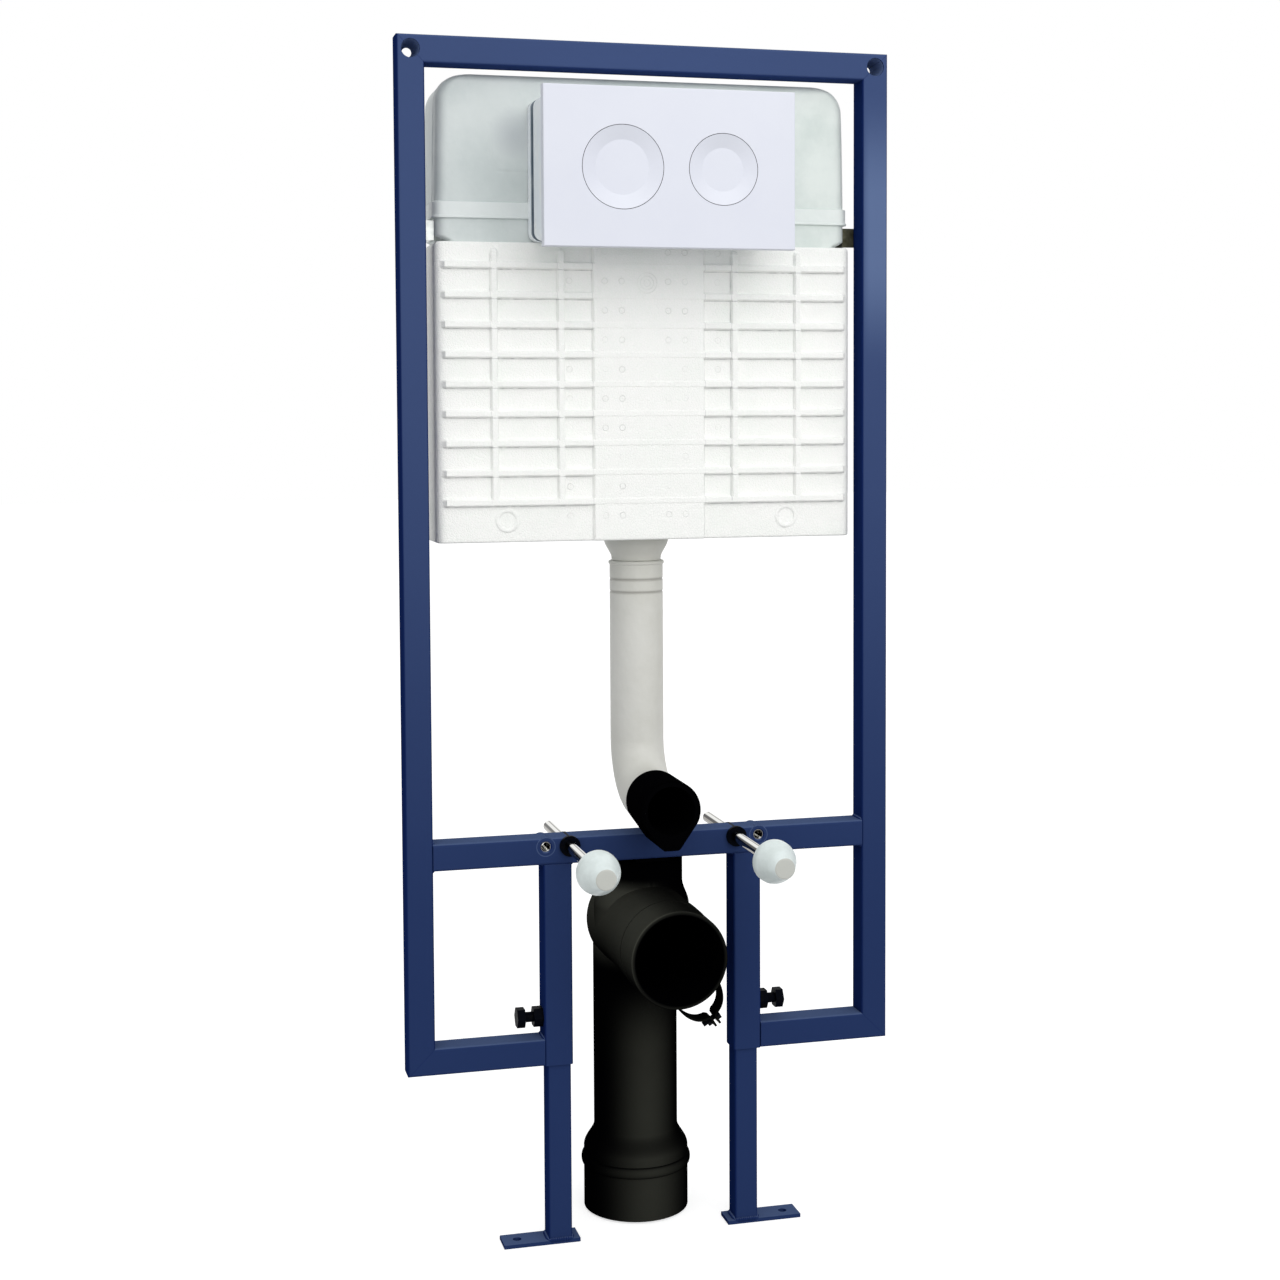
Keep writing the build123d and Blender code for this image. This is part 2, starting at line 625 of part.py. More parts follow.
def make_adaptor():
    """Builds the open box between tank and plate, flanged and grooved at the rear, its front inside the plate's rim."""
    with BuildPart() as box:
        middle = up((ADAPTOR_TOP + ADAPTOR_BOTTOM) / 2)
        height = ADAPTOR_TOP - ADAPTOR_BOTTOM
        front = PLATE_FRONT + PLATE_SKIN

        def ring(depth, proud):
            """Returns the box's outline at a depth, proud of its side by some millimetres."""
            with BuildSketch(facing(depth)) as outline:
                with Locations((0, middle)):
                    RectangleRounded(2 * (ADAPTOR_HALF + proud), height + 2 * proud, ADAPTOR_CORNER + proud)
            return outline.sketch

        extrude(ring(TANK_FRONT, 0), amount=TANK_FRONT - front)
        groove = TANK_FRONT - ADAPTOR_FLANGE
        extrude(ring(groove, 0), amount=ADAPTOR_GROOVE, mode=Mode.SUBTRACT)
        extrude(ring(groove, -ADAPTOR_GROOVE_DEPTH), amount=ADAPTOR_GROOVE)
        extrude(ring(TANK_FRONT, -ADAPTOR_WALL), amount=TANK_FRONT - front, mode=Mode.SUBTRACT)
    write(box.part, "plate_adaptor")


def make_outlet():
    """Builds the flared tank outlet that plugs into the flush pipe with two sealing rings."""
    spigot = PIPE_D / 2 - PIPE_WALL - OUTLET_GAP
    with BuildPart() as outlet:
        with BuildSketch(Plane.XZ.offset(-back(PIPE_BEHIND))):
            with BuildLine():
                Polyline(
                    (spigot - OUTLET_WALL, up(TANK_BOTTOM + TANK_WALL)),
                    (spigot - OUTLET_GAP, up(TANK_BOTTOM + TANK_WALL)),
                    (spigot - OUTLET_GAP, up(TANK_BOTTOM)),
                    (OUTLET_FLARE_D / 2, up(TANK_BOTTOM)),
                    (OUTLET_FLARE_D / 2, up(OUTLET_FLARE_BOTTOM)),
                    (spigot, up(PIPE_TOP)),
                    (spigot, up(PIPE_TOP - OUTLET_REACH)),
                    (spigot - OUTLET_WALL, up(PIPE_TOP - OUTLET_REACH)),
                    close=True,
                )
            make_face()
        revolve(axis=Axis((0, back(PIPE_BEHIND), 0), (0, 0, 1)))
    write(outlet.part, "tank_outlet")


def make_flush_pipe():
    """Builds the flush pipe: straight down, round one bend and forward over the crossbar."""
    with BuildPart() as pipe:
        with BuildLine():
            drop = Line(
                (0, back(PIPE_BEHIND), up(PIPE_TOP)),
                (0, back(PIPE_BEHIND), up(PIPE_OUTLET_HEIGHT + PIPE_BEND_R)),
            )
            bend = TangentArc(
                drop @ 1,
                (0, back(PIPE_BEHIND - PIPE_BEND_R), up(PIPE_OUTLET_HEIGHT)),
                tangent=drop % 1,
            )
            Line(bend @ 1, (0, back(PIPE_END), up(PIPE_OUTLET_HEIGHT)))
        with BuildSketch(Plane(drop @ 0, z_dir=drop % 0)):
            Circle(PIPE_D / 2)
            Circle(PIPE_D / 2 - PIPE_WALL, mode=Mode.SUBTRACT)
        sweep()
    write(pipe.part, "flush_pipe")


def make_flush_sleeve():
    """Builds the rubber sleeve on the pipe's end, round above and drawn to a blunt nose below."""
    radius = PIPE_D / 2 + RUBBER_GAP + RUBBER_WALL
    with BuildPart() as sleeve:
        with BuildSketch(facing(SLEEVE_REAR)) as outline:
            with Locations((0, up(PIPE_OUTLET_HEIGHT))):
                Circle(radius)
            with Locations((0, up(PIPE_OUTLET_HEIGHT) - radius - RUBBER_NOSE / 2)):
                Rectangle(RUBBER_NOSE_WIDTH, RUBBER_NOSE)
            make_hull(outline.edges())
        extrude(amount=SLEEVE_REAR - SLEEVE_FRONT)
        with BuildSketch(facing(SLEEVE_REAR)):
            with Locations((0, up(PIPE_OUTLET_HEIGHT))):
                Circle(PIPE_D / 2 + RUBBER_GAP)
        extrude(amount=SLEEVE_REAR - PIPE_END, mode=Mode.SUBTRACT)
        with BuildSketch(facing(PIPE_END)):
            with Locations((0, up(PIPE_OUTLET_HEIGHT))):
                Circle(RUBBER_MOUTH_D / 2)
        extrude(amount=PIPE_END - SLEEVE_FRONT, mode=Mode.SUBTRACT)
    write(sleeve.part, "flush_sleeve")


def make_waste_bend():
    """Builds the waste bend: a barrel with a socket in front, a capped top stub and the down pipe, hollow throughout."""
    bore = WASTE_D / 2 - WASTE_WALL
    barrel_bore = BARREL_D / 2 - WASTE_WALL
    with BuildPart() as bend:
        with BuildSketch(facing(WASTE_BEHIND)):
            with Locations((0, up(BARREL_HEIGHT))):
                Circle(BARREL_D / 2)
        extrude(amount=WASTE_BEHIND - BARREL_FRONT)
        with Locations((0, back(WASTE_BEHIND), up(BARREL_HEIGHT))):
            Sphere(BARREL_D / 2)
        with BuildSketch(Plane.XY.offset(up(SPIGOT_BOTTOM))):
            with Locations((0, back(WASTE_BEHIND))):
                Circle(WASTE_D / 2)
        extrude(amount=BARREL_HEIGHT - SPIGOT_BOTTOM)
        with BuildSketch(Plane.XZ.offset(-back(STUB_BEHIND))):
            with BuildLine():
                Polyline(
                    (0, up(BARREL_HEIGHT)),
                    (STUB_D / 2, up(BARREL_HEIGHT)),
                    (STUB_CONE_D / 2, up(BARREL_HEIGHT + STUB_CONE_BOTTOM)),
                    (STUB_D / 2, up(BARREL_HEIGHT + STUB_CONE_TOP)),
                    (STUB_D / 2, up(STUB_TOP)),
                    (0, up(STUB_TOP)),
                    close=True,
                )
            make_face()
        revolve(axis=Axis((0, back(STUB_BEHIND), 0), (0, 0, 1)))
        with BuildSketch(facing(BARREL_FRONT)):
            with Locations((0, up(BARREL_HEIGHT))):
                Circle(barrel_bore)
        extrude(amount=-BARREL_SOCKET, mode=Mode.SUBTRACT)
        with BuildSketch(facing(BARREL_FRONT)):
            with Locations((0, up(BARREL_HEIGHT))):
                Circle(barrel_bore - BARREL_STOP)
        extrude(amount=-(WASTE_BEHIND - BARREL_FRONT), mode=Mode.SUBTRACT)
        with Locations((0, back(WASTE_BEHIND), up(BARREL_HEIGHT))):
            Sphere(barrel_bore - BARREL_STOP, mode=Mode.SUBTRACT)
        with BuildSketch(Plane.XY.offset(up(SPIGOT_BOTTOM))):
            with Locations((0, back(WASTE_BEHIND))):
                Circle(bore)
        extrude(amount=BARREL_HEIGHT - SPIGOT_BOTTOM, mode=Mode.SUBTRACT)
        with BuildSketch(Plane.XY.offset(up(BARREL_HEIGHT))):
            with Locations((0, back(STUB_BEHIND))):
                Circle(STUB_D / 2 - WASTE_WALL)
        extrude(amount=STUB_REACH - STUB_CAP, mode=Mode.SUBTRACT)
    write(bend.part, "waste_bend")


def make_waste_socket():
    """Builds the floor socket that is pushed on the down pipe, with its shoulder and the bead that holds a seal."""
    neck = WASTE_D / 2 + SOCKET_GAP
    with BuildPart() as socket:
        with BuildSketch(Plane.XZ.offset(-back(WASTE_BEHIND))):
            with BuildLine():
                Polyline(
                    (neck, up(SOCKET_SEAT)),
                    (neck, up(SOCKET_NECK)),
                    (neck + SOCKET_NECK_WALL, up(SOCKET_NECK)),
                    (SOCKET_D / 2, up(SOCKET_SHOULDER)),
                    (SOCKET_D / 2, up(SOCKET_BOTTOM)),
                    (SOCKET_BORE_D / 2, up(SOCKET_BOTTOM)),
                    (SOCKET_BORE_D / 2, up(SOCKET_SEAT)),
                    close=True,
                )
            make_face()
            with Locations((SOCKET_BEAD_D / 2 - SOCKET_BEAD_R, up(SOCKET_BEAD_HEIGHT))):
                Circle(SOCKET_BEAD_R)
            with Locations((SOCKET_BORE_D / 2 - SOCKET_BEAD_R, up(SOCKET_BEAD_HEIGHT))):
                Rectangle(2 * SOCKET_BEAD_R, 2 * SOCKET_BEAD_R, mode=Mode.SUBTRACT)
        revolve(axis=Axis((0, back(WASTE_BEHIND), 0), (0, 0, 1)))
    write(socket.part, "waste_socket")


def strap_plane():
    """Returns the strap's middle plane, centred on the barrel, with its x along the ears."""
    lean = math.radians(STRAP_EAR_ANGLE)
    return Plane(
        (0, back(STRAP_BEHIND), up(BARREL_HEIGHT)),
        x_dir=(math.cos(lean), 0, math.sin(lean)), z_dir=(0, -1, 0),
    )


def make_strap():
    """Builds the steel strap round the barrel, with two ears and the bolt that closes them."""
    inner = BARREL_D / 2 + STRAP_GAP
    outer = inner + STRAP_THICKNESS
    with BuildPart() as strap:
        with BuildSketch(strap_plane()):
            Circle(outer)
            with Locations((inner + STRAP_EAR / 2, 0)):
                Rectangle(STRAP_EAR, STRAP_EAR_GAP + 2 * STRAP_THICKNESS)
                Rectangle(STRAP_EAR + outer, STRAP_EAR_GAP, mode=Mode.SUBTRACT)
            Circle(inner, mode=Mode.SUBTRACT)
        extrude(amount=STRAP_WIDTH / 2, both=True)
        with BuildSketch(strap_bolt_plane(-BARREL_D / 2)):
            Circle(STRAP_BOLT_D / 2 + STRAP_GAP)
        extrude(amount=BARREL_D, mode=Mode.SUBTRACT)
    write(strap.part, "bend_strap")

    with BuildPart() as bolt:
        seat = STRAP_EAR_GAP / 2 + STRAP_THICKNESS
        with BuildSketch(strap_bolt_plane(-seat - STRAP_BOLT_REACH)):
            Circle(STRAP_BOLT_D / 2)
        extrude(amount=2 * seat + STRAP_BOLT_REACH)
        with BuildSketch(strap_bolt_plane(seat)):
            RegularPolygon(STRAP_BOLT_HEX / 2, 6, major_radius=False)
        extrude(amount=STRAP_BOLT_HEAD)
        with BuildSketch(strap_bolt_plane(-seat - STRAP_BOLT_HEAD)):
            RegularPolygon(STRAP_BOLT_HEX / 2, 6, major_radius=False)
        extrude(amount=STRAP_BOLT_HEAD)
    write(bolt.part, "bend_strap_bolt")


def strap_bolt_plane(along):
    """Returns the plane across the strap bolt, at a distance along the bolt from the ears' middle."""
    lean = math.radians(STRAP_EAR_ANGLE)
    reach = BARREL_D / 2 + STRAP_GAP + STRAP_BOLT_OUT
    axis = (-math.sin(lean), 0, math.cos(lean))
    centre = (
        reach * math.cos(lean) + along * axis[0],
        back(STRAP_BEHIND),
        up(BARREL_HEIGHT) + reach * math.sin(lean) + along * axis[2],
    )
    return Plane(centre, x_dir=(0, 1, 0), z_dir=axis)


def make_hanger():
    """Builds the flat bar under the crossbar and the bolt that holds the waste bend's capped stub."""
    with BuildPart() as hanger:
        length = HANGER_REAR
        with BuildSketch(Plane.XY.offset(up(CROSSBAR_BOTTOM - HANGER_THICKNESS))):
            with Locations((0, back(TUBE_CORNER + length / 2))):
                Rectangle(HANGER_WIDTH, length)
            with Locations((0, back(STUB_BEHIND))):
                Circle(HANGER_BOLT_D / 2 + STUD_GAP, mode=Mode.SUBTRACT)
        extrude(amount=HANGER_THICKNESS)
    write(hanger.part, "bend_hanger")

    with BuildPart() as bolt:
        with BuildSketch(Plane.XY.offset(up(STUB_TOP))):
            with Locations((0, back(STUB_BEHIND))):
                Circle(HANGER_BOLT_D / 2)
        extrude(amount=CROSSBAR_BOTTOM - STUB_TOP + CLAMP_HEAD)
        with BuildSketch(Plane.XY.offset(up(CROSSBAR_BOTTOM))):
            with Locations((0, back(STUB_BEHIND))):
                RegularPolygon(CLAMP_HEX / 2, 6, major_radius=False)
        extrude(amount=CLAMP_HEAD)
        with BuildSketch(Plane.XY.offset(up(STUB_TOP))):
            with Locations((0, back(STUB_BEHIND))):
                Circle(CLAMP_HEX / 2)
        extrude(amount=HANGER_THICKNESS)
    write(bolt.part, "bend_hanger_bolt")


os.makedirs("parts", exist_ok=True)
make_posts()
make_top_rail()
make_bottom_rails()
make_crossbar()
make_sleeves()
make_legs()
make_clamps()
make_pan_fixings()
make_tank()
make_tank_angles()
make_cover()
make_plate()
make_buttons()
make_adaptor()
make_outlet()
make_flush_pipe()
make_flush_sleeve()
make_waste_bend()
make_waste_socket()
make_strap()
make_hanger()
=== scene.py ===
"""Looks of a wall hung toilet frame: finishes for the made parts and finer surfaces round them.

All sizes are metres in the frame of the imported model: +X right, +Y to the wall, +Z up, with the
origin in the middle of the top rail's rear face.
"""

import json
import logging
import math
from dataclasses import dataclass
from enum import Enum
from typing import Dict, List, Optional, Sequence, Tuple, Union

import bmesh
import bpy
import numpy as np
from mathutils import Matrix, Vector


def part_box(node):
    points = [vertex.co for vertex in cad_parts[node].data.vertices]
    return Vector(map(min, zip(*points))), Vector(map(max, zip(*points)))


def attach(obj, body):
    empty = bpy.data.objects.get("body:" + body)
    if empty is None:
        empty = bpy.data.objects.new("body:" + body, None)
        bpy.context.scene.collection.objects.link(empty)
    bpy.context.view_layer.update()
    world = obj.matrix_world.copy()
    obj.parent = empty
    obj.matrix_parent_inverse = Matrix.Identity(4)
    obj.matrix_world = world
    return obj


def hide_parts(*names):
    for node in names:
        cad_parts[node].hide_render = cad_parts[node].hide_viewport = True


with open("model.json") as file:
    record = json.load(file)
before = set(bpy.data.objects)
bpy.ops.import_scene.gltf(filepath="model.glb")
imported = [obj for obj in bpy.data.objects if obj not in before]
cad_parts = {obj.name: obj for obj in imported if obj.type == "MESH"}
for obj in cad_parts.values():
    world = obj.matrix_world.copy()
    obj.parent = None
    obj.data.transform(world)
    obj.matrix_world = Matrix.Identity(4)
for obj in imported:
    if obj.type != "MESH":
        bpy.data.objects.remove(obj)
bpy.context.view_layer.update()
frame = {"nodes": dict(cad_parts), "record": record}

LOG = logging.getLogger("toilet_frame")
# Name of the point mark that tells a finish where light or shade is painted.
PAINTED_SHADING = "soil"

Number = Union[int, float]
Colour = Tuple[float, float, float]
Point = Tuple[float, float, float]
Span = Tuple[float, float]


def srgb(red: Number, green: Number, blue: Number) -> Colour:
    """Turns a colour of 0 to 255 as seen on a screen into linear light.

    Args:
        red: Red, 0 to 255.
        green: Green, 0 to 255.
        blue: Blue, 0 to 255.

    Returns:
        The three linear values, 0 to 1.
    """
    def linear(value: Number) -> float:
        """Undoes the screen's gamma on one value."""
        share = value / 255.0
        return share / 12.92 if share <= 0.04045 else ((share + 0.055) / 1.055) ** 2.4

    return (linear(red), linear(green), linear(blue))


def stations(*pieces: Tuple[float, float, int]) -> np.ndarray:
    """Joins evenly spaced runs of values into one rising list.

    Args:
        *pieces: The start, end and number of values of each run.

    Returns:
        All the values in order, each once.
    """
    runs = [np.linspace(start, end, count) for start, end, count in pieces]
    return np.unique(np.round(np.concatenate(runs), 6))


def soft_step(value: np.ndarray) -> np.ndarray:
    """Rises smoothly from 0 to 1 while the value goes from 0 to 1."""
    held = np.clip(value, 0.0, 1.0)
    return held * held * (3.0 - 2.0 * held)


def ridge(distance: np.ndarray, reach: float) -> np.ndarray:
    """Rises smoothly from 0 at a reach to either side to 1 at no distance."""
    return soft_step(1.0 - np.abs(distance) / reach)


def arc_drop(share: np.ndarray) -> np.ndarray:
    """Returns how far a unit quarter circle falls off from its tangent at a share of its width."""
    return 1.0 - np.sqrt(1.0 - share ** 2)


def stacked(*columns: Union[np.ndarray, float]) -> np.ndarray:
    """Joins coordinates, each spread to the common shape, along a new last axis."""
    return np.stack(np.broadcast_arrays(*columns), axis=-1)


def full_turn(sides: int) -> np.ndarray:
    """Returns evenly spaced angles round a full turn."""
    return np.linspace(0.0, 2 * np.pi, sides, endpoint=False)


def rounded_profile(corners: Sequence[Tuple[float, float, float]], steps: int = 6) -> np.ndarray:
    """Rounds the corners of a profile.

    Each corner becomes a short curve between the two points that lie its rounding away along its legs, a
    quadratic mix of them with the corner itself.

    Args:
        corners: Distance from the axis, place along it and rounding of each corner.
        steps: Points on each rounded corner.

    Returns:
        The profile's points, (distance, place) in each row.
    """
    spots = np.array([corner[:2] for corner in corners], float)
    points = [spots[:1]]
    share = np.linspace(0.0, 1.0, steps)[:, None]
    for before, corner, after, (_, _, rounding) in zip(spots, spots[1:], spots[2:], corners[1:]):
        if rounding == 0.0:
            points.append(corner[None])
            continue
        first = corner + (before - corner) / np.linalg.norm(before - corner) * rounding
        last = corner + (after - corner) / np.linalg.norm(after - corner) * rounding
        points.append((1 - share) ** 2 * first + 2 * share * (1 - share) * corner + share ** 2 * last)
    points.append(spots[-1:])
    return np.concatenate(points)


class Skin:
    """A mesh put together from grids, each a surface over two parameters."""

    def __init__(self) -> None:
        """Starts without any surface."""
        self.points: List[np.ndarray] = []
        self.quads: List[np.ndarray] = []
        self.marks: List[np.ndarray] = []
        self.count = 0

    def grid(self, points: np.ndarray, around: bool = False, marks: Optional[np.ndarray] = None) -> None:
        """Adds a grid of points as a surface.

        Args:
            points: Rows by columns by three coordinates.
            around: Whether the last column joins the first.
            marks: How much painted light or shade each point carries, 0 to 1, for the finish to read; none if not
                given.
        """
        self.marks.append(np.zeros(points.shape[0] * points.shape[1]) if marks is None else marks.ravel())
        rows, columns = points.shape[:2]
        index = np.arange(rows * columns).reshape(rows, columns) + self.count
        if around:
            index = np.concatenate([index, index[:, :1]], axis=1)
        faces = stacked(index[:-1, :-1], index[:-1, 1:], index[1:, 1:], index[1:, :-1])
        self.points.append(points.reshape(-1, 3))
        self.quads.append(faces.reshape(-1, 4))
        self.count += rows * columns

    def turned(self, profile: np.ndarray, centre: Point, axis: Point, sides: int = 72,
               swell: Optional[np.ndarray] = None) -> None:
        """Adds a surface turned round an axis.

        A point is the centre, plus its place along the axis, plus its radius times the cosine and sine of
        its angle along two directions across the axis.

        Args:
            profile: Radius and place along the axis in each row.
            centre: A point of the axis.
            axis: The axis's direction.
            sides: Points round the axis.
            swell: Radii to use instead, one for each row and side.
        """
        along = np.array(axis, float)
        along /= np.linalg.norm(along)
        first = np.cross(along, (0.0, 0.0, 1.0) if abs(along[2]) < 0.9 else (1.0, 0.0, 0.0))
        first /= np.linalg.norm(first)
        second = np.cross(along, first)
        angle = full_turn(sides)
        radius = profile[:, :1] * np.ones((1, sides)) if swell is None else swell
        across = np.cos(angle)[:, None] * first + np.sin(angle)[:, None] * second
        points = np.array(centre) + profile[:, 1, None, None] * along + radius[..., None] * across
        self.grid(points, around=True)

    def swept(self, path: np.ndarray, radius: np.ndarray, sides: int = 64, soil: Optional[np.ndarray] = None) -> None:
        """Adds a round tube along a path in the plane of y and z.

        Args:
            path: Points of the path.
            radius: The tube's radius at each of them.
            sides: Points round the tube.
            soil: How much painted light or shade it carries at each of them; none if not given.
        """
        heading = np.gradient(path, axis=0)
        heading /= np.linalg.norm(heading, axis=1, keepdims=True)
        level = np.array((1.0, 0.0, 0.0))
        above = np.cross(level, heading)
        angle = full_turn(sides)[None, :, None]
        across = np.cos(angle) * level + np.sin(angle) * above[:, None]
        marks = None if soil is None else soil[:, None] * np.ones((1, sides))
        self.grid(path[:, None] + radius[:, None, None] * across, around=True, marks=marks)

    def bead(self, start: Point, end: Point, radius: float, ripple: float = 0.0016) -> None:
        """Adds a weld bead along a straight line.

        Its radius is a half circle's root along the way, so that both ends run out, times one plus an
        eighth of the sine of the distance in ripples.

        Args:
            start: Where the bead begins.
            end: Where it ends.
            radius: Its half width.
            ripple: The distance from one ripple to the next.
        """
        first, last = np.array(start), np.array(end)
        length = float(np.linalg.norm(last - first))
        ahead = (last - first) / length
        level = np.cross(ahead, (0.0, 0.0, 1.0) if abs(ahead[2]) < 0.9 else (1.0, 0.0, 0.0))
        level /= np.linalg.norm(level)
        above = np.cross(level, ahead)
        along = np.linspace(0.0, length, max(int(length / ripple) * 5, 12))
        taper = np.sqrt(np.clip(np.minimum(along, length - along) / (1.5 * radius), 0.0, 1.0))
        swell = radius * taper * (1.0 + 0.125 * np.sin(2 * np.pi * along / ripple))
        angle = full_turn(14)[None, :, None]
        across = np.cos(angle) * level + np.sin(angle) * above
        self.grid(first + along[:, None, None] * ahead + swell[:, None, None] * across, around=True)

    def piece(self, name: str, material: bpy.types.Material, body: str,
              sharp: float = 35.0) -> bpy.types.Object:
        """Closes the seams and poles, turns the faces outward and hangs the piece on its body.

        Args:
            name: The piece's name.
            material: Its finish.
            body: The body that carries it.
            sharp: The angle in degrees past which an edge stays sharp.

        Returns:
            The finished object.
        """
        mesh = bpy.data.meshes.new(name)
        mesh.from_pydata(np.concatenate(self.points).tolist(), [], np.concatenate(self.quads).tolist())
        soil = mesh.attributes.new(PAINTED_SHADING, "FLOAT", "POINT")
        soil.data.foreach_set("value", np.concatenate(self.marks).astype(np.float32))
        shell = bmesh.new()
        shell.from_mesh(mesh)
        bmesh.ops.remove_doubles(shell, verts=shell.verts, dist=1e-6)
        bmesh.ops.dissolve_degenerate(shell, edges=shell.edges, dist=1e-7)
        bmesh.ops.recalc_face_normals(shell, faces=shell.faces)
        shell.to_mesh(mesh)
        shell.free()
        mesh.polygons.foreach_set("use_smooth", np.ones(len(mesh.polygons), bool))
        mesh.set_sharp_from_angle(angle=math.radians(sharp))
        mesh.materials.append(material)
        made = bpy.data.objects.new(name, mesh)
        bpy.context.scene.collection.objects.link(made)
        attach(made, body)
        LOG.info("built %s: %d faces on %s", name, len(mesh.polygons), body)
        return made


class Wire:
    """A value in a shader: a socket with the usual operators, each of which adds a Math node."""

    def __init__(self, shader: "Shader", socket: bpy.types.NodeSocket) -> None:
        """Wraps an output socket of a shader's tree."""
        self.shader = shader
        self.socket = socket

    def _math(self, operation: str, *values: Union["Wire", Number]) -> "Wire":
        """Adds a Math node on this value and others."""
        inputs = {index: value for index, value in enumerate((self, *values))}
        return self.shader.node("ShaderNodeMath", {"operation": operation}, inputs)

    def __add__(self, other: Union["Wire", Number]) -> "Wire":
        """Adds."""
        return self._math("ADD", other)

    __radd__ = __add__

    def __mul__(self, other: Union["Wire", Number]) -> "Wire":
        """Multiplies."""
        return self._math("MULTIPLY", other)

    __rmul__ = __mul__

    def __sub__(self, other: Union["Wire", Number]) -> "Wire":
        """Subtracts."""
        return self._math("SUBTRACT", other)

    def __rsub__(self, other: Number) -> "Wire":
        """Subtracts this value from a number."""
        return self.shader.node("ShaderNodeMath", {"operation": "SUBTRACT"}, {0: other, 1: self})

    def __truediv__(self, other: Union["Wire", Number]) -> "Wire":
        """Divides."""
        return self._math("DIVIDE", other)

    def __pow__(self, other: Number) -> "Wire":
        """Raises to a power."""
        return self._math("POWER", other)

    def minimum(self, other: Union["Wire", Number]) -> "Wire":
        """Takes the smaller value."""
        return self._math("MINIMUM", other)

    def maximum(self, other: Union["Wire", Number]) -> "Wire":
        """Takes the larger value."""
        return self._math("MAXIMUM", other)

    def absolute(self) -> "Wire":
        """Drops the sign."""
        return self._math("ABSOLUTE")

    def clamped(self) -> "Wire":
        """Keeps the value within 0 and 1."""
        return self.maximum(0.0).minimum(1.0)

    def between(self, low: Number, high: Number) -> "Wire":
        """Gives 0 at low and 1 at high, with a soft step between them."""
        settings = {"interpolation_type": "SMOOTHSTEP"}
        return self.shader.node("ShaderNodeMapRange", settings, {"Value": self, "From Min": low, "From Max": high})


Input = Union[Wire, Number, Sequence[Number]]


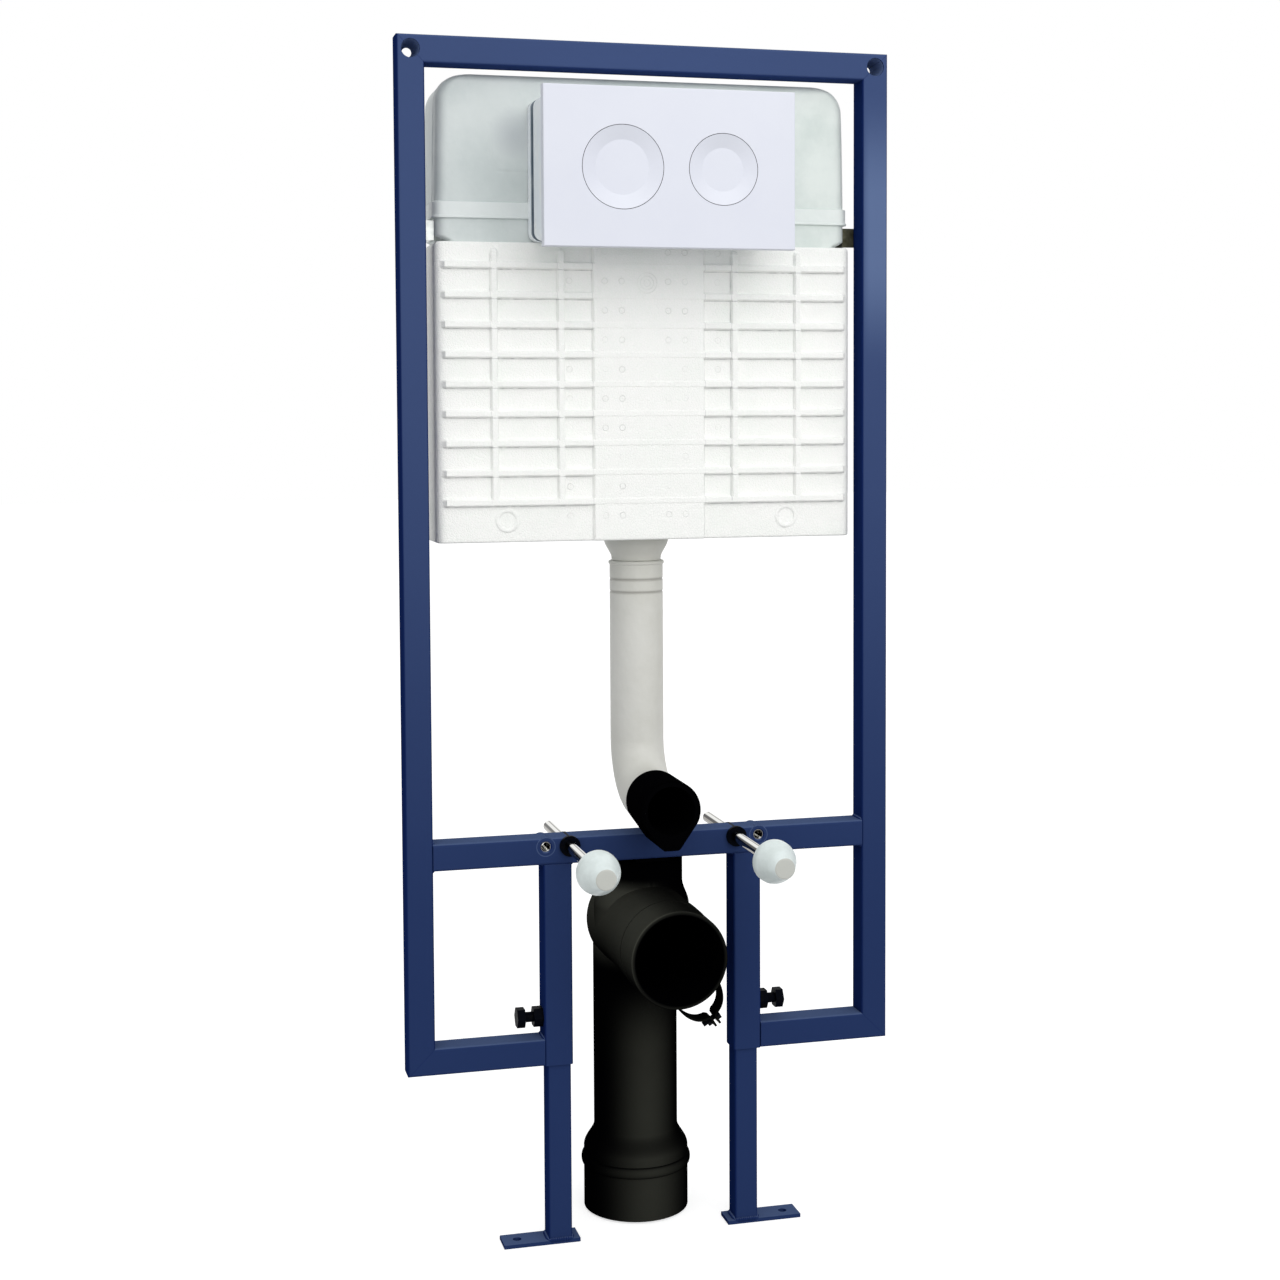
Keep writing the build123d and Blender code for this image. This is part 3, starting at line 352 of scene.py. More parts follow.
class Shader:
    """One material under construction, with a single method that adds any node."""

    def __init__(self, name: str, tree: Optional[bpy.types.NodeTree] = None) -> None:
        """Starts an empty material of that name, or works on a world's tree."""
        self._place: Optional[Wire] = None
        self.tree = tree
        if tree is None:
            self.material = bpy.data.materials.new(name)
            self.material.use_nodes = True
            self.tree = self.material.node_tree
            self.tree.nodes.clear()
            self.output = self.tree.nodes.new("ShaderNodeOutputMaterial")

    def node(self, kind: str, settings: Optional[Dict[str, object]] = None,
             inputs: Optional[Dict[Union[str, int], Input]] = None, out: Union[str, int] = 0) -> Wire:
        """Adds a node, sets it up and feeds its sockets.

        Args:
            kind: The node's type.
            settings: Its own properties; "ramp" holds a colour ramp's stops.
            inputs: Values or wires by socket name or number.
            out: The output that is returned.

        Returns:
            The chosen output.
        """
        made = self.tree.nodes.new(kind)
        for key, value in (settings or {}).items():
            if key == "ramp":
                self._set_ramp(made.color_ramp, value)
            else:
                setattr(made, key, value)
        for key, value in (inputs or {}).items():
            socket = made.inputs[key]
            if isinstance(value, Wire):
                self.tree.links.new(value.socket, socket)
            elif isinstance(value, (int, float)):
                socket.default_value = value
            else:
                socket.default_value = tuple(value) if len(value) == len(socket.default_value) else (*value, 1.0)
        return Wire(self, made.outputs[out])

    @staticmethod
    def _set_ramp(ramp: bpy.types.ColorRamp, stops: Sequence[Tuple[float, Colour]]) -> None:
        """Writes a colour ramp's stops."""
        while len(ramp.elements) < len(stops):
            ramp.elements.new(1.0)
        for element, (position, colour) in zip(ramp.elements, stops):
            element.position = position
            element.color = (*colour, 1.0)

    def place(self) -> Wire:
        """Returns the object coordinates, which are the frame's own metres."""
        if self._place is None:
            self._place = self.node("ShaderNodeTexCoord", out="Object")
        return self._place

    def axes(self, kind: str = "Object") -> Tuple[Wire, Wire, Wire]:
        """Returns x, y and z of the object coordinates, or of the direction that a world looks in."""
        place = self.place() if kind == "Object" else self.node("ShaderNodeTexCoord", out=kind)
        outputs = self.node("ShaderNodeSeparateXYZ", None, {0: place}).socket.node.outputs
        return tuple(Wire(self, outputs[index]) for index in range(3))

    def facing(self) -> Tuple[Wire, Wire, Wire]:
        """Returns x, y and z of the direction that the surface faces, in the frame's own axes."""
        return self.axes("Normal")

    def soil(self) -> Wire:
        """Returns the mark for painted light or shade that a skin's points carry, 0 where it has none."""
        return self.node("ShaderNodeAttribute", {"attribute_name": PAINTED_SHADING}, out="Fac")

    def stretched(self, scale: Point) -> Wire:
        """Returns the object coordinates times a scale along each axis."""
        return self.node("ShaderNodeVectorMath", {"operation": "MULTIPLY"}, {0: self.place(), 1: scale})

    def noise(self, scale: Number, detail: Number = 3.0, rough: Number = 0.5, vector: Optional[Wire] = None) -> Wire:
        """Returns noise around 0.5 with a scale in waves per metre."""
        inputs = {"Vector": vector or self.place(), "Scale": scale, "Detail": detail, "Roughness": rough}
        return self.node("ShaderNodeTexNoise", None, inputs, "Fac")

    def cells(self, scale: Number, feature: str = "F1") -> Wire:
        """Returns a cell pattern with a scale in cells per metre."""
        inputs = {"Vector": self.place(), "Scale": scale}
        return self.node("ShaderNodeTexVoronoi", {"feature": feature}, inputs, "Distance")

    def blend(self, share: Input, first: Input, second: Input) -> Wire:
        """Mixes two colours by a share of the second."""
        return self.node("ShaderNodeMix", {"data_type": "RGBA"}, {0: share, 6: first, 7: second}, 2)

    def bump(self, height: Wire, distance: Number, under: Optional[Wire] = None) -> Wire:
        """Turns a height of 0 to 1 into a normal, where 1 stands that many metres proud."""
        inputs = {"Height": height, "Distance": distance}
        if under is not None:
            inputs["Normal"] = under
        return self.node("ShaderNodeBump", None, inputs)

    def surface(self, **inputs: Input) -> bpy.types.Material:
        """Closes the material with a Principled shader.

        Args:
            **inputs: Its sockets, with an underscore for each space.

        Returns:
            The finished material.
        """
        named = {key.replace("_", " "): value for key, value in inputs.items()}
        return self.finish(self.node("ShaderNodeBsdfPrincipled", None, named))

    def finish(self, shader: Wire) -> bpy.types.Material:
        """Feeds a shader to the output and returns the material."""
        self.tree.links.new(shader.socket, self.output.inputs["Surface"])
        return self.material


@dataclass(frozen=True)
class PowderCoat:
    """Blue powder coat on steel tube, with light and shade painted into its colour: lighter where it looks to the
    room and up, painted shade on its sides and below.

    The front is painted lighter towards the top, with a painted highlight high on the right post. Fine orange peel,
    mitre seams at the corners and a painted highlight ring round each spare bush break it up.
    """

    name: str = "blue_powder_coat"
    # Painted light and shade: the front darker low down and lighter high up, a paler highlight colour, shade on the
    # sides and below, light on top.
    low: Colour = srgb(38, 54, 95)
    high: Colour = srgb(63, 79, 119)
    faded: Colour = srgb(92, 110, 148)
    side: Colour = srgb(20, 37, 86)
    below: Colour = srgb(40, 57, 104)
    top: Colour = srgb(72, 88, 124)
    peel: float = 900.0
    fade_from: float = -0.98
    fade_to: float = -0.12
    glow_x: float = 0.228
    glow_z: float = -0.17
    seam_width: float = 0.0005
    mitre_x: float = 0.232
    mitre_top: float = -0.014
    mitre_bottom: float = -1.012
    bush_x: float = 0.115
    bush_z: float = -0.81
    ring_radius: float = 0.0097
    ring_width: float = 0.0007
    ring_depth: Span = (-0.028, -0.029)
    ring_share: float = 0.5
    seam_share: float = 0.55
    seam_start: float = 0.001
    cloud_noise: Point = (7.0, 4.0, 0.6)
    cloud_reach: float = 0.12
    glow_reach: Span = (0.15, 0.03)
    glow_step: float = 0.012
    top_turn: Span = (0.45, 0.75)
    side_turn: Span = (0.35, 0.8)
    peel_depth: float = 0.00008

    def material(self) -> bpy.types.Material:
        """Returns the finish as a material."""
        paint = Shader(self.name)
        x, y, z = paint.axes()
        cloud = paint.noise(*self.cloud_noise)
        peel = paint.noise(self.peel, 2.0)
        coarse = paint.noise(self.peel / 6, 2.0)
        # Painted light: the front is darker low down and lighter high up.
        height = (z + cloud * self.cloud_reach - self.cloud_reach / 2).between(self.fade_from, self.fade_to)
        front = paint.blend(height, self.low, self.high)
        # Painted highlight high on the right post.
        glow = (z - self.glow_z).absolute().between(*self.glow_reach)
        glow = glow * x.between(self.glow_x, self.glow_x + self.glow_step)
        front = paint.blend(glow, front, self.faded)
        # Painted highlight ring round each spare bush.
        front = paint.blend(self._ring(x, y, z) * self.ring_share, front, self.faded)
        # Painted light and shade by the way the surface faces: lighter on top, darker below and on the sides.
        across, _, upward = paint.facing()
        colour = paint.blend(upward.between(*self.top_turn), front, self.top)
        colour = paint.blend((upward * -1.0).between(*self.side_turn), colour, self.below)
        # Marked skin (the wall hole funnels) takes the painted highlight colour all over, without the painted side
        # shade.
        lit_funnel = paint.soil()
        colour = paint.blend(across.absolute().between(*self.side_turn) * (1.0 - lit_funnel), colour, self.side)
        colour = paint.blend(lit_funnel, colour, self.faded)
        seam = self._seam(x, z)
        return paint.surface(
            Base_Color=paint.blend(seam * self.seam_share, colour, self.side),
            Roughness=0.46 + cloud * 0.12,
            Normal=paint.bump(peel * 0.55 + coarse * 0.4 - seam, self.peel_depth),
            Specular_IOR_Level=0.0,
        )

    def _ring(self, x: Wire, y: Wire, z: Wire) -> Wire:
        """Returns the painted highlight ring round each spare bush on the crossbar's front."""
        from_bush = ((x.absolute() - self.bush_x) ** 2 + (z - self.bush_z) ** 2) ** 0.5
        ring = (from_bush - self.ring_radius).absolute().between(self.ring_width, self.ring_width / 3)
        return ring * y.between(*self.ring_depth)

    def _seam(self, x: Wire, z: Wire) -> Wire:
        """Returns the four mitre seams, where the way out from the inner corner equals the way up or down."""
        out = x.absolute() - self.mitre_x
        top = (out - (z - self.mitre_top)).absolute().between(self.seam_width, self.seam_width / 3)
        bottom = (out - (self.mitre_bottom - z)).absolute().between(self.seam_width, self.seam_width / 3)
        return (top * z.between(self.mitre_top - self.seam_start, self.mitre_top)
                + bottom * z.between(self.mitre_bottom + self.seam_start, self.mitre_bottom)).clamped()


@dataclass(frozen=True)
class BlackSteel:
    """Black oxide on turned and rolled steel, with a brown cast where it is thin."""

    name: str = "black_oxide"
    colour: Colour = srgb(2, 4, 12)
    thin: Colour = srgb(14, 13, 13)
    patch_noise: Point = (160.0, 4.0, 0.6)
    patch_span: Span = (0.45, 0.75)
    grain_noise: Span = (2500.0, 2.0)
    grain_depth: float = 0.00003

    def material(self) -> bpy.types.Material:
        """Returns the finish as a material."""
        oxide = Shader(self.name)
        patch = oxide.noise(*self.patch_noise)
        return oxide.surface(
            Base_Color=oxide.blend(patch.between(*self.patch_span), self.colour, self.thin),
            Roughness=0.34 + patch * 0.25,
            Normal=oxide.bump(oxide.noise(*self.grain_noise), self.grain_depth),
            Specular_IOR_Level=0.02,
        )


@dataclass(frozen=True)
class BrightSteel:
    """Zinc plated steel with an olive cast, brushed along its length."""

    name: str = "bright_plate"
    colour: Colour = srgb(222, 222, 220)
    shade: Colour = srgb(176, 178, 178)
    roughness: float = 0.12
    grain: float = 600.0
    patch_noise: Point = (90.0, 4.0, 0.6)
    patch_span: Span = (0.35, 0.7)
    brushed: Point = (1.0, 0.05, 1.0)
    grain_depth: float = 0.00002

    def material(self) -> bpy.types.Material:
        """Returns the finish as a material."""
        plate = Shader(self.name)
        patch = plate.noise(*self.patch_noise)
        lines = plate.noise(self.grain, 2.0, vector=plate.stretched(self.brushed))
        return plate.surface(
            Base_Color=plate.blend(patch.between(*self.patch_span), self.colour, self.shade),
            Metallic=1.0,
            Roughness=self.roughness + patch * 0.12,
            Normal=plate.bump(lines, self.grain_depth),
        )


@dataclass(frozen=True)
class ChromeRod:
    """Bright chrome on a rod along y, with the dark and light reflection streaks of a polished rod painted into its
    colour.

    The painted streak at a point follows the angle of its normal round the rod, so it runs the rod's full length.
    """

    name: str = "chrome_rod"
    bright: Colour = srgb(236, 236, 232)
    middle: Colour = srgb(150, 146, 138)
    dark: Colour = srgb(22, 19, 16)
    scratches: Span = (900.0, 2.0)
    drawn: Point = (1.0, 0.03, 1.0)
    scratch_depth: float = 0.00001

    def material(self) -> bpy.types.Material:
        """Returns the finish as a material."""
        rod = Shader(self.name)
        across, _, upward = rod.facing()
        turn = rod.node("ShaderNodeMath", {"operation": "ARCTAN2"}, {0: upward, 1: across}) / math.pi
        # Painted reflection: round the rod the colour steps through dark and bright streaks.
        stops = [(0.0, self.dark), (0.12, self.middle), (0.24, self.dark), (0.33, self.bright), (0.47, self.bright),
                 (0.51, self.dark), (0.55, self.middle), (0.59, self.bright), (0.72, self.bright),
                 (0.77, self.dark), (0.9, self.dark), (0.96, self.middle), (1.0, self.dark)]
        streaks = rod.node("ShaderNodeValToRGB", {"ramp": stops}, {0: turn.absolute()})
        scratch = rod.noise(*self.scratches, vector=rod.stretched(self.drawn))
        return rod.surface(
            Base_Color=streaks,
            Metallic=1.0,
            Roughness=0.05 + scratch * 0.08,
            Normal=rod.bump(scratch, self.scratch_depth),
        )


@dataclass(frozen=True)
class MilkyPlastic:
    """Blow moulded polyethylene: milky, cloudy in places, softly dimpled, with a painted shadow of the plate, painted
    shade towards the left and a painted colour on marked skin.
    """

    name: str = "milky_polyethylene"
    colour: Colour = srgb(226, 233, 229)
    cloud: Colour = srgb(205, 215, 211)
    # Colour of marked skin: a painted highlight on the tank's belt, painted shade in the pipe's grooves.
    marked: Colour = srgb(243, 247, 246)
    # Colour of the plate's painted shadow and of the painted shade towards the left.
    smeared: Colour = srgb(183, 189, 193)
    smear: Point = (-0.14, -0.02, -0.08)
    smear_reach: Span = (0.075, 0.01)
    smear_share: float = 0.95
    smear_rear: float = 0.02
    leftward: Span = (0.12, -0.2)
    leftward_share: float = 0.42
    cloud_noise: Point = (11.0, 5.0, 0.62)
    cloud_span: Span = (0.35, 0.7)
    dimple_noise: Span = (55.0, 3.0)
    dimple_depth: float = 0.0009
    grain_noise: Span = (1500.0, 2.0)
    grain_depth: float = 0.00003
    roughness: float = 0.42

    def material(self) -> bpy.types.Material:
        """Returns the finish as a material."""
        body = Shader(self.name)
        x, y, z = body.axes()
        cloud = body.noise(*self.cloud_noise)
        grain = body.noise(*self.grain_noise)
        soft = body.bump(body.noise(*self.dimple_noise), self.dimple_depth)
        colour = body.blend(cloud.between(*self.cloud_span), self.colour, self.cloud)
        # Painted shadow of the plate on the front left, and painted shade growing towards the left.
        away = ((x - self.smear[0]) ** 2 + (z - self.smear[2]) ** 2) ** 0.5
        smear = (away + cloud * 0.04).between(*self.smear_reach) * y.between(self.smear_rear, self.smear[1])
        smear = smear * self.smear_share
        leftward = x.between(*self.leftward) * self.leftward_share
        colour = body.blend(smear.maximum(leftward), colour, self.smeared)
        # Where the skin is marked the colour turns to the painted highlight or painted shade colour of that piece.
        return body.surface(
            Base_Color=body.blend((body.soil() * (0.75 + cloud * 0.4)).clamped(), colour, self.marked),
            Roughness=self.roughness + cloud * 0.12,
            Normal=body.bump(grain, self.grain_depth, under=soft),
            Specular_IOR_Level=0.4,
        )


@dataclass(frozen=True)
class FoamBead:
    """Expanded polystyrene: packed beads with fine dark joints and small voids, and painted shade where its skin is
    marked.
    """

    name: str = "foam_bead"
    colour: Colour = srgb(253, 253, 251)
    joint: Colour = srgb(246, 250, 245)
    # Colour of the painted shade lines and dark rib ends.
    soiled: Colour = srgb(118, 118, 126)
    mark: Colour = srgb(196, 204, 198)
    bead: float = 380.0
    pitch: float = 0.0302
    first_row: float = -0.2275
    middle: float = -0.0045
    columns: Tuple[float, ...] = (0.0248, 0.0428, 0.0795)
    circle_radius: float = 0.003
    seal: Span = (-0.0023, -0.2291)
    seal_radius: float = 0.0105
    seal_step: float = 0.0035
    seal_fade: float = 0.001
    ring_line: Span = (0.0006, 0.0001)
    seal_line: Span = (0.0007, 0.0001)
    joint_reach: float = 0.14
    patch_noise: Point = (24.0, 4.0, 0.6)
    grit_noise: Span = (900.0, 3.0)
    mark_share: float = 0.22
    relief: float = 0.0003

    def material(self) -> bpy.types.Material:
        """Returns the finish as a material."""
        foam = Shader(self.name)
        x, _, z = foam.axes()
        edge = foam.cells(self.bead, "DISTANCE_TO_EDGE")
        joint = 1.0 - edge.between(0.0, self.joint_reach)
        patch = foam.noise(*self.patch_noise)
        grit = foam.noise(*self.grit_noise)
        ejector = self._circles(x, z) * patch.between(0.35, 0.6)
        shade = (joint * 0.5 + (1.0 - patch.between(0.25, 0.6)) * 0.4).clamped()
        colour = foam.blend(shade, self.colour, self.joint)
        colour = foam.blend(ejector * self.mark_share, colour, self.mark)
        # Painted shade from the skin's marks: lines under the ribs, beside the stiles and band, and dark rib ends.
        soil = foam.soil() * (0.6 + grit * 0.8)
        return foam.surface(
            Base_Color=foam.blend(soil.clamped(), colour, self.soiled),
            Roughness=0.75 + grit * 0.2,
            Normal=foam.bump((1.0 - joint) * 0.7 + grit * 0.5 - ejector * 1.5, self.relief),
            Specular_IOR_Level=0.2,
        )

    def _circles(self, x: Wire, z: Wire) -> Wire:
        """Returns the moulding marks: a row of small rings in each rib cell, and one of rings within rings."""
        row = x.shader.node("ShaderNodeMath", {"operation": "PINGPONG"}, {0: z - self.first_row, 1: self.pitch / 2})
        side = (x - self.middle).absolute()
        marks = row * 0.0
        for column in self.columns:
            reach = ((side - column) ** 2 + row ** 2) ** 0.5
            marks = marks + (reach - self.circle_radius).absolute().between(*self.ring_line)
        reach = ((x - self.seal[0]) ** 2 + (z - self.seal[1]) ** 2) ** 0.5
        rings = x.shader.node("ShaderNodeMath", {"operation": "PINGPONG"}, {0: reach, 1: self.seal_step / 2})
        rings = rings.between(*self.seal_line) * reach.between(self.seal_radius + self.seal_fade, self.seal_radius)
        return (marks + rings).clamped()


@dataclass(frozen=True)
class PlatePlastic:
    """Satin white plastic of the flush plate and buttons, painted darker where it looks down and lighter where it
    looks up, with painted shade deep in the gaps round the buttons.
    """

    name: str = "plate_plastic"
    colour: Colour = srgb(219, 222, 232)
    shade: Colour = srgb(216, 219, 230)
    # Painted shade for faces that look down, painted light for faces that look up, and painted shade deep in the
    # gaps.
    under: Colour = srgb(203, 206, 215)
    upper: Colour = srgb(230, 233, 241)
    dust: Colour = srgb(24, 22, 22)
    gaps: Tuple[Span, ...] = ((-0.049, 0.0413), (0.054, 0.03555))
    gap_z: float = -0.122
    front: float = -0.111
    gap_line: Span = (0.001, 0.0005)
    gap_depth: Span = (0.0001, 0.0006)
    dust_level: Span = (1.2, 14.0)
    under_share: float = 0.7
    upper_share: float = 0.5
    lean: Span = (0.05, 0.4)
    cloud_noise: Point = (9.0, 4.0, 0.55)
    spark_noise: Span = (2200.0, 2.0)
    spark_depth: float = 0.00002
    roughness: float = 0.34

    def material(self) -> bpy.types.Material:
        """Returns the finish as a material."""
        body = Shader(self.name)
        x, y, z = body.axes()
        cloud = body.noise(*self.cloud_noise)
        spark = body.noise(*self.spark_noise)
        _, _, upward = body.facing()
        plain = body.blend(cloud.between(0.3, 0.7), self.colour, self.shade)
        # Painted shade where it looks down and painted light where it looks up.
        plain = body.blend((upward * -1.0).between(*self.lean) * self.under_share, plain, self.under)
        plain = body.blend(upward.between(*self.lean) * self.upper_share, plain, self.upper)
        gap = cloud * 0.0
        for middle, radius in self.gaps:
            reach = ((x - middle) ** 2 + (z - self.gap_z) ** 2) ** 0.5
            gap = gap.maximum((reach - radius).absolute().between(*self.gap_line))
        # Painted shade deep in the gaps round the buttons, stronger towards their bottom.
        level, slope = self.dust_level
        deep = y.between(*(self.front + depth for depth in self.gap_depth))
        dust = gap * deep * (level - (z - self.gap_z) * slope).clamped()
        return body.surface(
            Base_Color=body.blend(dust, plain, self.dust),
            Roughness=self.roughness + cloud * 0.1,
            Normal=body.bump(spark, self.spark_depth),
            Specular_IOR_Level=0.4,
        )


@dataclass(frozen=True)
class BlackPlastic:
    """Black polyethylene or rubber, with a painted olive sheen where it looks up or to the room.

    The painted sheen grows with the share of the surface's direction that points up to the left, high up, or
    straight ahead, lower down and on the mouth's rim. It fades out above a height and is missing inside.
    Drag marks run up and down.
    """

    name: str = "black_polyethylene"
    colour: Colour = srgb(2, 2, 3)
    # Colour of the painted sheen.
    chalk: Colour = srgb(72, 73, 66)
    sharpness: float = 5.0
    roughness: float = 0.42
    upper: Point = (-0.66, -0.5, 0.56)
    upper_sharpness: float = 2.5
    ahead: Point = (0.05, -0.998, 0.03)
    ahead_share: float = 0.42
    rim: Span = (-0.127, -0.1285)
    behind: Point = (0.35, 0.9, 0.26)
    behind_share: float = 0.2
    upper_zone: Span = (-0.962, -0.925)
    ahead_zone: Span = (-0.965, -1.045)
    fade: Span = (-0.852, -0.868)
    rim_share: float = 0.35
    cloud_noise: Point = (14.0, 3.0, 0.5)
    drag_noise: Span = (500.0, 3.0)
    dragged: Point = (1.0, 1.0, 0.08)
    drag_depth: float = 0.00004

    def material(self) -> bpy.types.Material:
        """Returns the finish as a material."""
        body = Shader(self.name)
        cloud = body.noise(*self.cloud_noise)
        drag = body.noise(*self.drag_noise, vector=body.stretched(self.dragged))
        _, depth, height = body.axes()
        # Painted sheen by the surface's direction: up to the left high up, ahead lower down and on the rim, and a
        # little looking back.
        above = self._toward(body, self.upper) ** self.upper_sharpness * height.between(*self.upper_zone)
        zone = height.between(*self.ahead_zone).maximum(depth.between(*self.rim) * self.rim_share)
        front = self._toward(body, self.ahead) ** self.sharpness * zone * self.ahead_share
        behind = self._toward(body, self.behind) * self.behind_share
        share = above.maximum(front) * height.between(*self.fade)
        share = share.maximum(behind) * (1.0 - body.soil())
        return body.surface(
            Base_Color=body.blend((share * (0.75 + cloud * 0.4)).clamped(), self.colour, self.chalk),
            Roughness=self.roughness + cloud * 0.16,
            Normal=body.bump(drag, self.drag_depth),
            Specular_IOR_Level=0.0,
        )

    @staticmethod
    def _toward(body: Shader, lean: Point) -> Wire:
        """Returns the share of the surface's direction that points along another, 0 where it looks away."""
        across, ahead, upward = body.facing()
        return (across * lean[0] + ahead * lean[1] + upward * lean[2]).clamped()


@dataclass(frozen=True)
class CapPlastic:
    """Cool white polyethylene of the stud caps, with painted shade on the flat nose, and a few specks."""

    name: str = "cap_polyethylene"
    colour: Colour = srgb(228, 238, 237)
    shade: Colour = srgb(216, 226, 224)
    # Colour of the painted shade on the flat nose and of the specks.
    scuffed: Colour = srgb(188, 190, 184)
    nose: float = -0.193
    scuff_depth: Span = (0.0012, 0.0004)
    speck_scale: float = 260.0
    speck_radius: float = 0.00016
    cloud_noise: Point = (60.0, 4.0, 0.6)
    cloud_depth: float = 0.0002
    roughness: float = 0.3

    def material(self) -> bpy.types.Material:
        """Returns the finish as a material."""
        body = Shader(self.name)
        _, y, _ = body.axes()
        cloud = body.noise(*self.cloud_noise)
        speck = 1.0 - body.cells(self.speck_scale).between(0.0, self.speck_radius * self.speck_scale)
        colour = body.blend(cloud.between(0.3, 0.7), self.colour, self.shade)
        # Painted shade on the flat nose.
        colour = body.blend(y.between(*(self.nose + depth for depth in self.scuff_depth)), colour, self.scuffed)
        return body.surface(
            Base_Color=body.blend(speck * cloud.between(0.5, 0.6), colour, self.scuffed),
            Roughness=self.roughness + cloud * 0.1,
            Normal=body.bump(cloud, self.cloud_depth),
            Specular_IOR_Level=0.4,
        )


@dataclass(frozen=True)
class AdaptorPlastic:
    """White plastic of the box behind the plate, with painted shade in its groove and along its flange."""

    name: str = "adaptor_plastic"
    colour: Colour = srgb(250, 254, 255)
    shade: Colour = srgb(240, 247, 253)
    dust: Colour = srgb(92, 108, 122)
    cloud_noise: Point = (30.0, 4.0, 0.6)
    cloud_depth: float = 0.0002
    roughness: float = 0.4

    def material(self) -> bpy.types.Material:
        """Returns the finish as a material."""
        body = Shader(self.name)
        cloud = body.noise(*self.cloud_noise)
        colour = body.blend(cloud.between(0.3, 0.7), self.colour, self.shade)
        # Painted shade where the skin is marked, in the groove and along the flange.
        return body.surface(
            Base_Color=body.blend(body.soil() * (0.7 + cloud * 0.5).clamped(), colour, self.dust),
            Roughness=self.roughness + cloud * 0.1,
            Normal=body.bump(cloud, self.cloud_depth),
            Specular_IOR_Level=0.4,
        )


class Finish(Enum):
    """The finishes by the record's material slot, and a paler zinc."""

    blue_frame_paint = PowderCoat()
    black_steel = BlackSteel()
    stud_chrome = ChromeRod()
    zinc_steel = BrightSteel("zinc_plate", srgb(92, 91, 76), srgb(58, 57, 44), 0.42)
    cap_plastic = CapPlastic()
    tank_plastic = MilkyPlastic()
    foam_cover = FoamBead()
    plate_plastic = PlatePlastic()
    adaptor_plastic = AdaptorPlastic()
    pipe_plastic = MilkyPlastic("pipe_polyethylene", srgb(214, 213, 206), srgb(203, 202, 193), srgb(142, 140, 134))
    black_rubber = BlackPlastic("black_rubber", srgb(3, 3, 4), srgb(12, 12, 11), 2.0, 0.55)
    waste_plastic = BlackPlastic()
    pale_zinc = BrightSteel("pale_zinc_plate", srgb(226, 229, 226), srgb(204, 208, 206), 0.45)


COATED = {
    "bend_hanger": Finish.black_rubber,
    "bend_hanger_bolt": Finish.black_rubber,
    "left_spare_bush": Finish.blue_frame_paint,
    "right_spare_bush": Finish.blue_frame_paint,
    "left_tank_angle": Finish.pale_zinc,
}


class Workshop:
    """Keeps one material of each finish and dresses the made parts."""

    def __init__(self) -> None:
        """Starts with no material made."""
        self.made: Dict[Finish, bpy.types.Material] = {}

    def material(self, finish: Finish) -> bpy.types.Material:
        """Returns a finish's material, made at its first use."""
        if finish not in self.made:
            self.made[finish] = finish.value.material()
        return self.made[finish]

    def dress_nodes(self) -> None:
        """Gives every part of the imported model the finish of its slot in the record.

        Over their zinc, the waste bend's hanger is blackened and the spare bushes are painted with the frame.
        The zinc of the left tank angle has stayed pale.
        """
        for subpart in frame["record"]["subparts"]:
            node = frame["nodes"][subpart["node"]]
            slot = subpart["material_slot"]
            finish = COATED.get(node.name, Finish[slot])
            node.data.materials.clear()
            node.data.materials.append(self.material(finish))
            LOG.info("dressed %s with %s", node.name, finish.name)


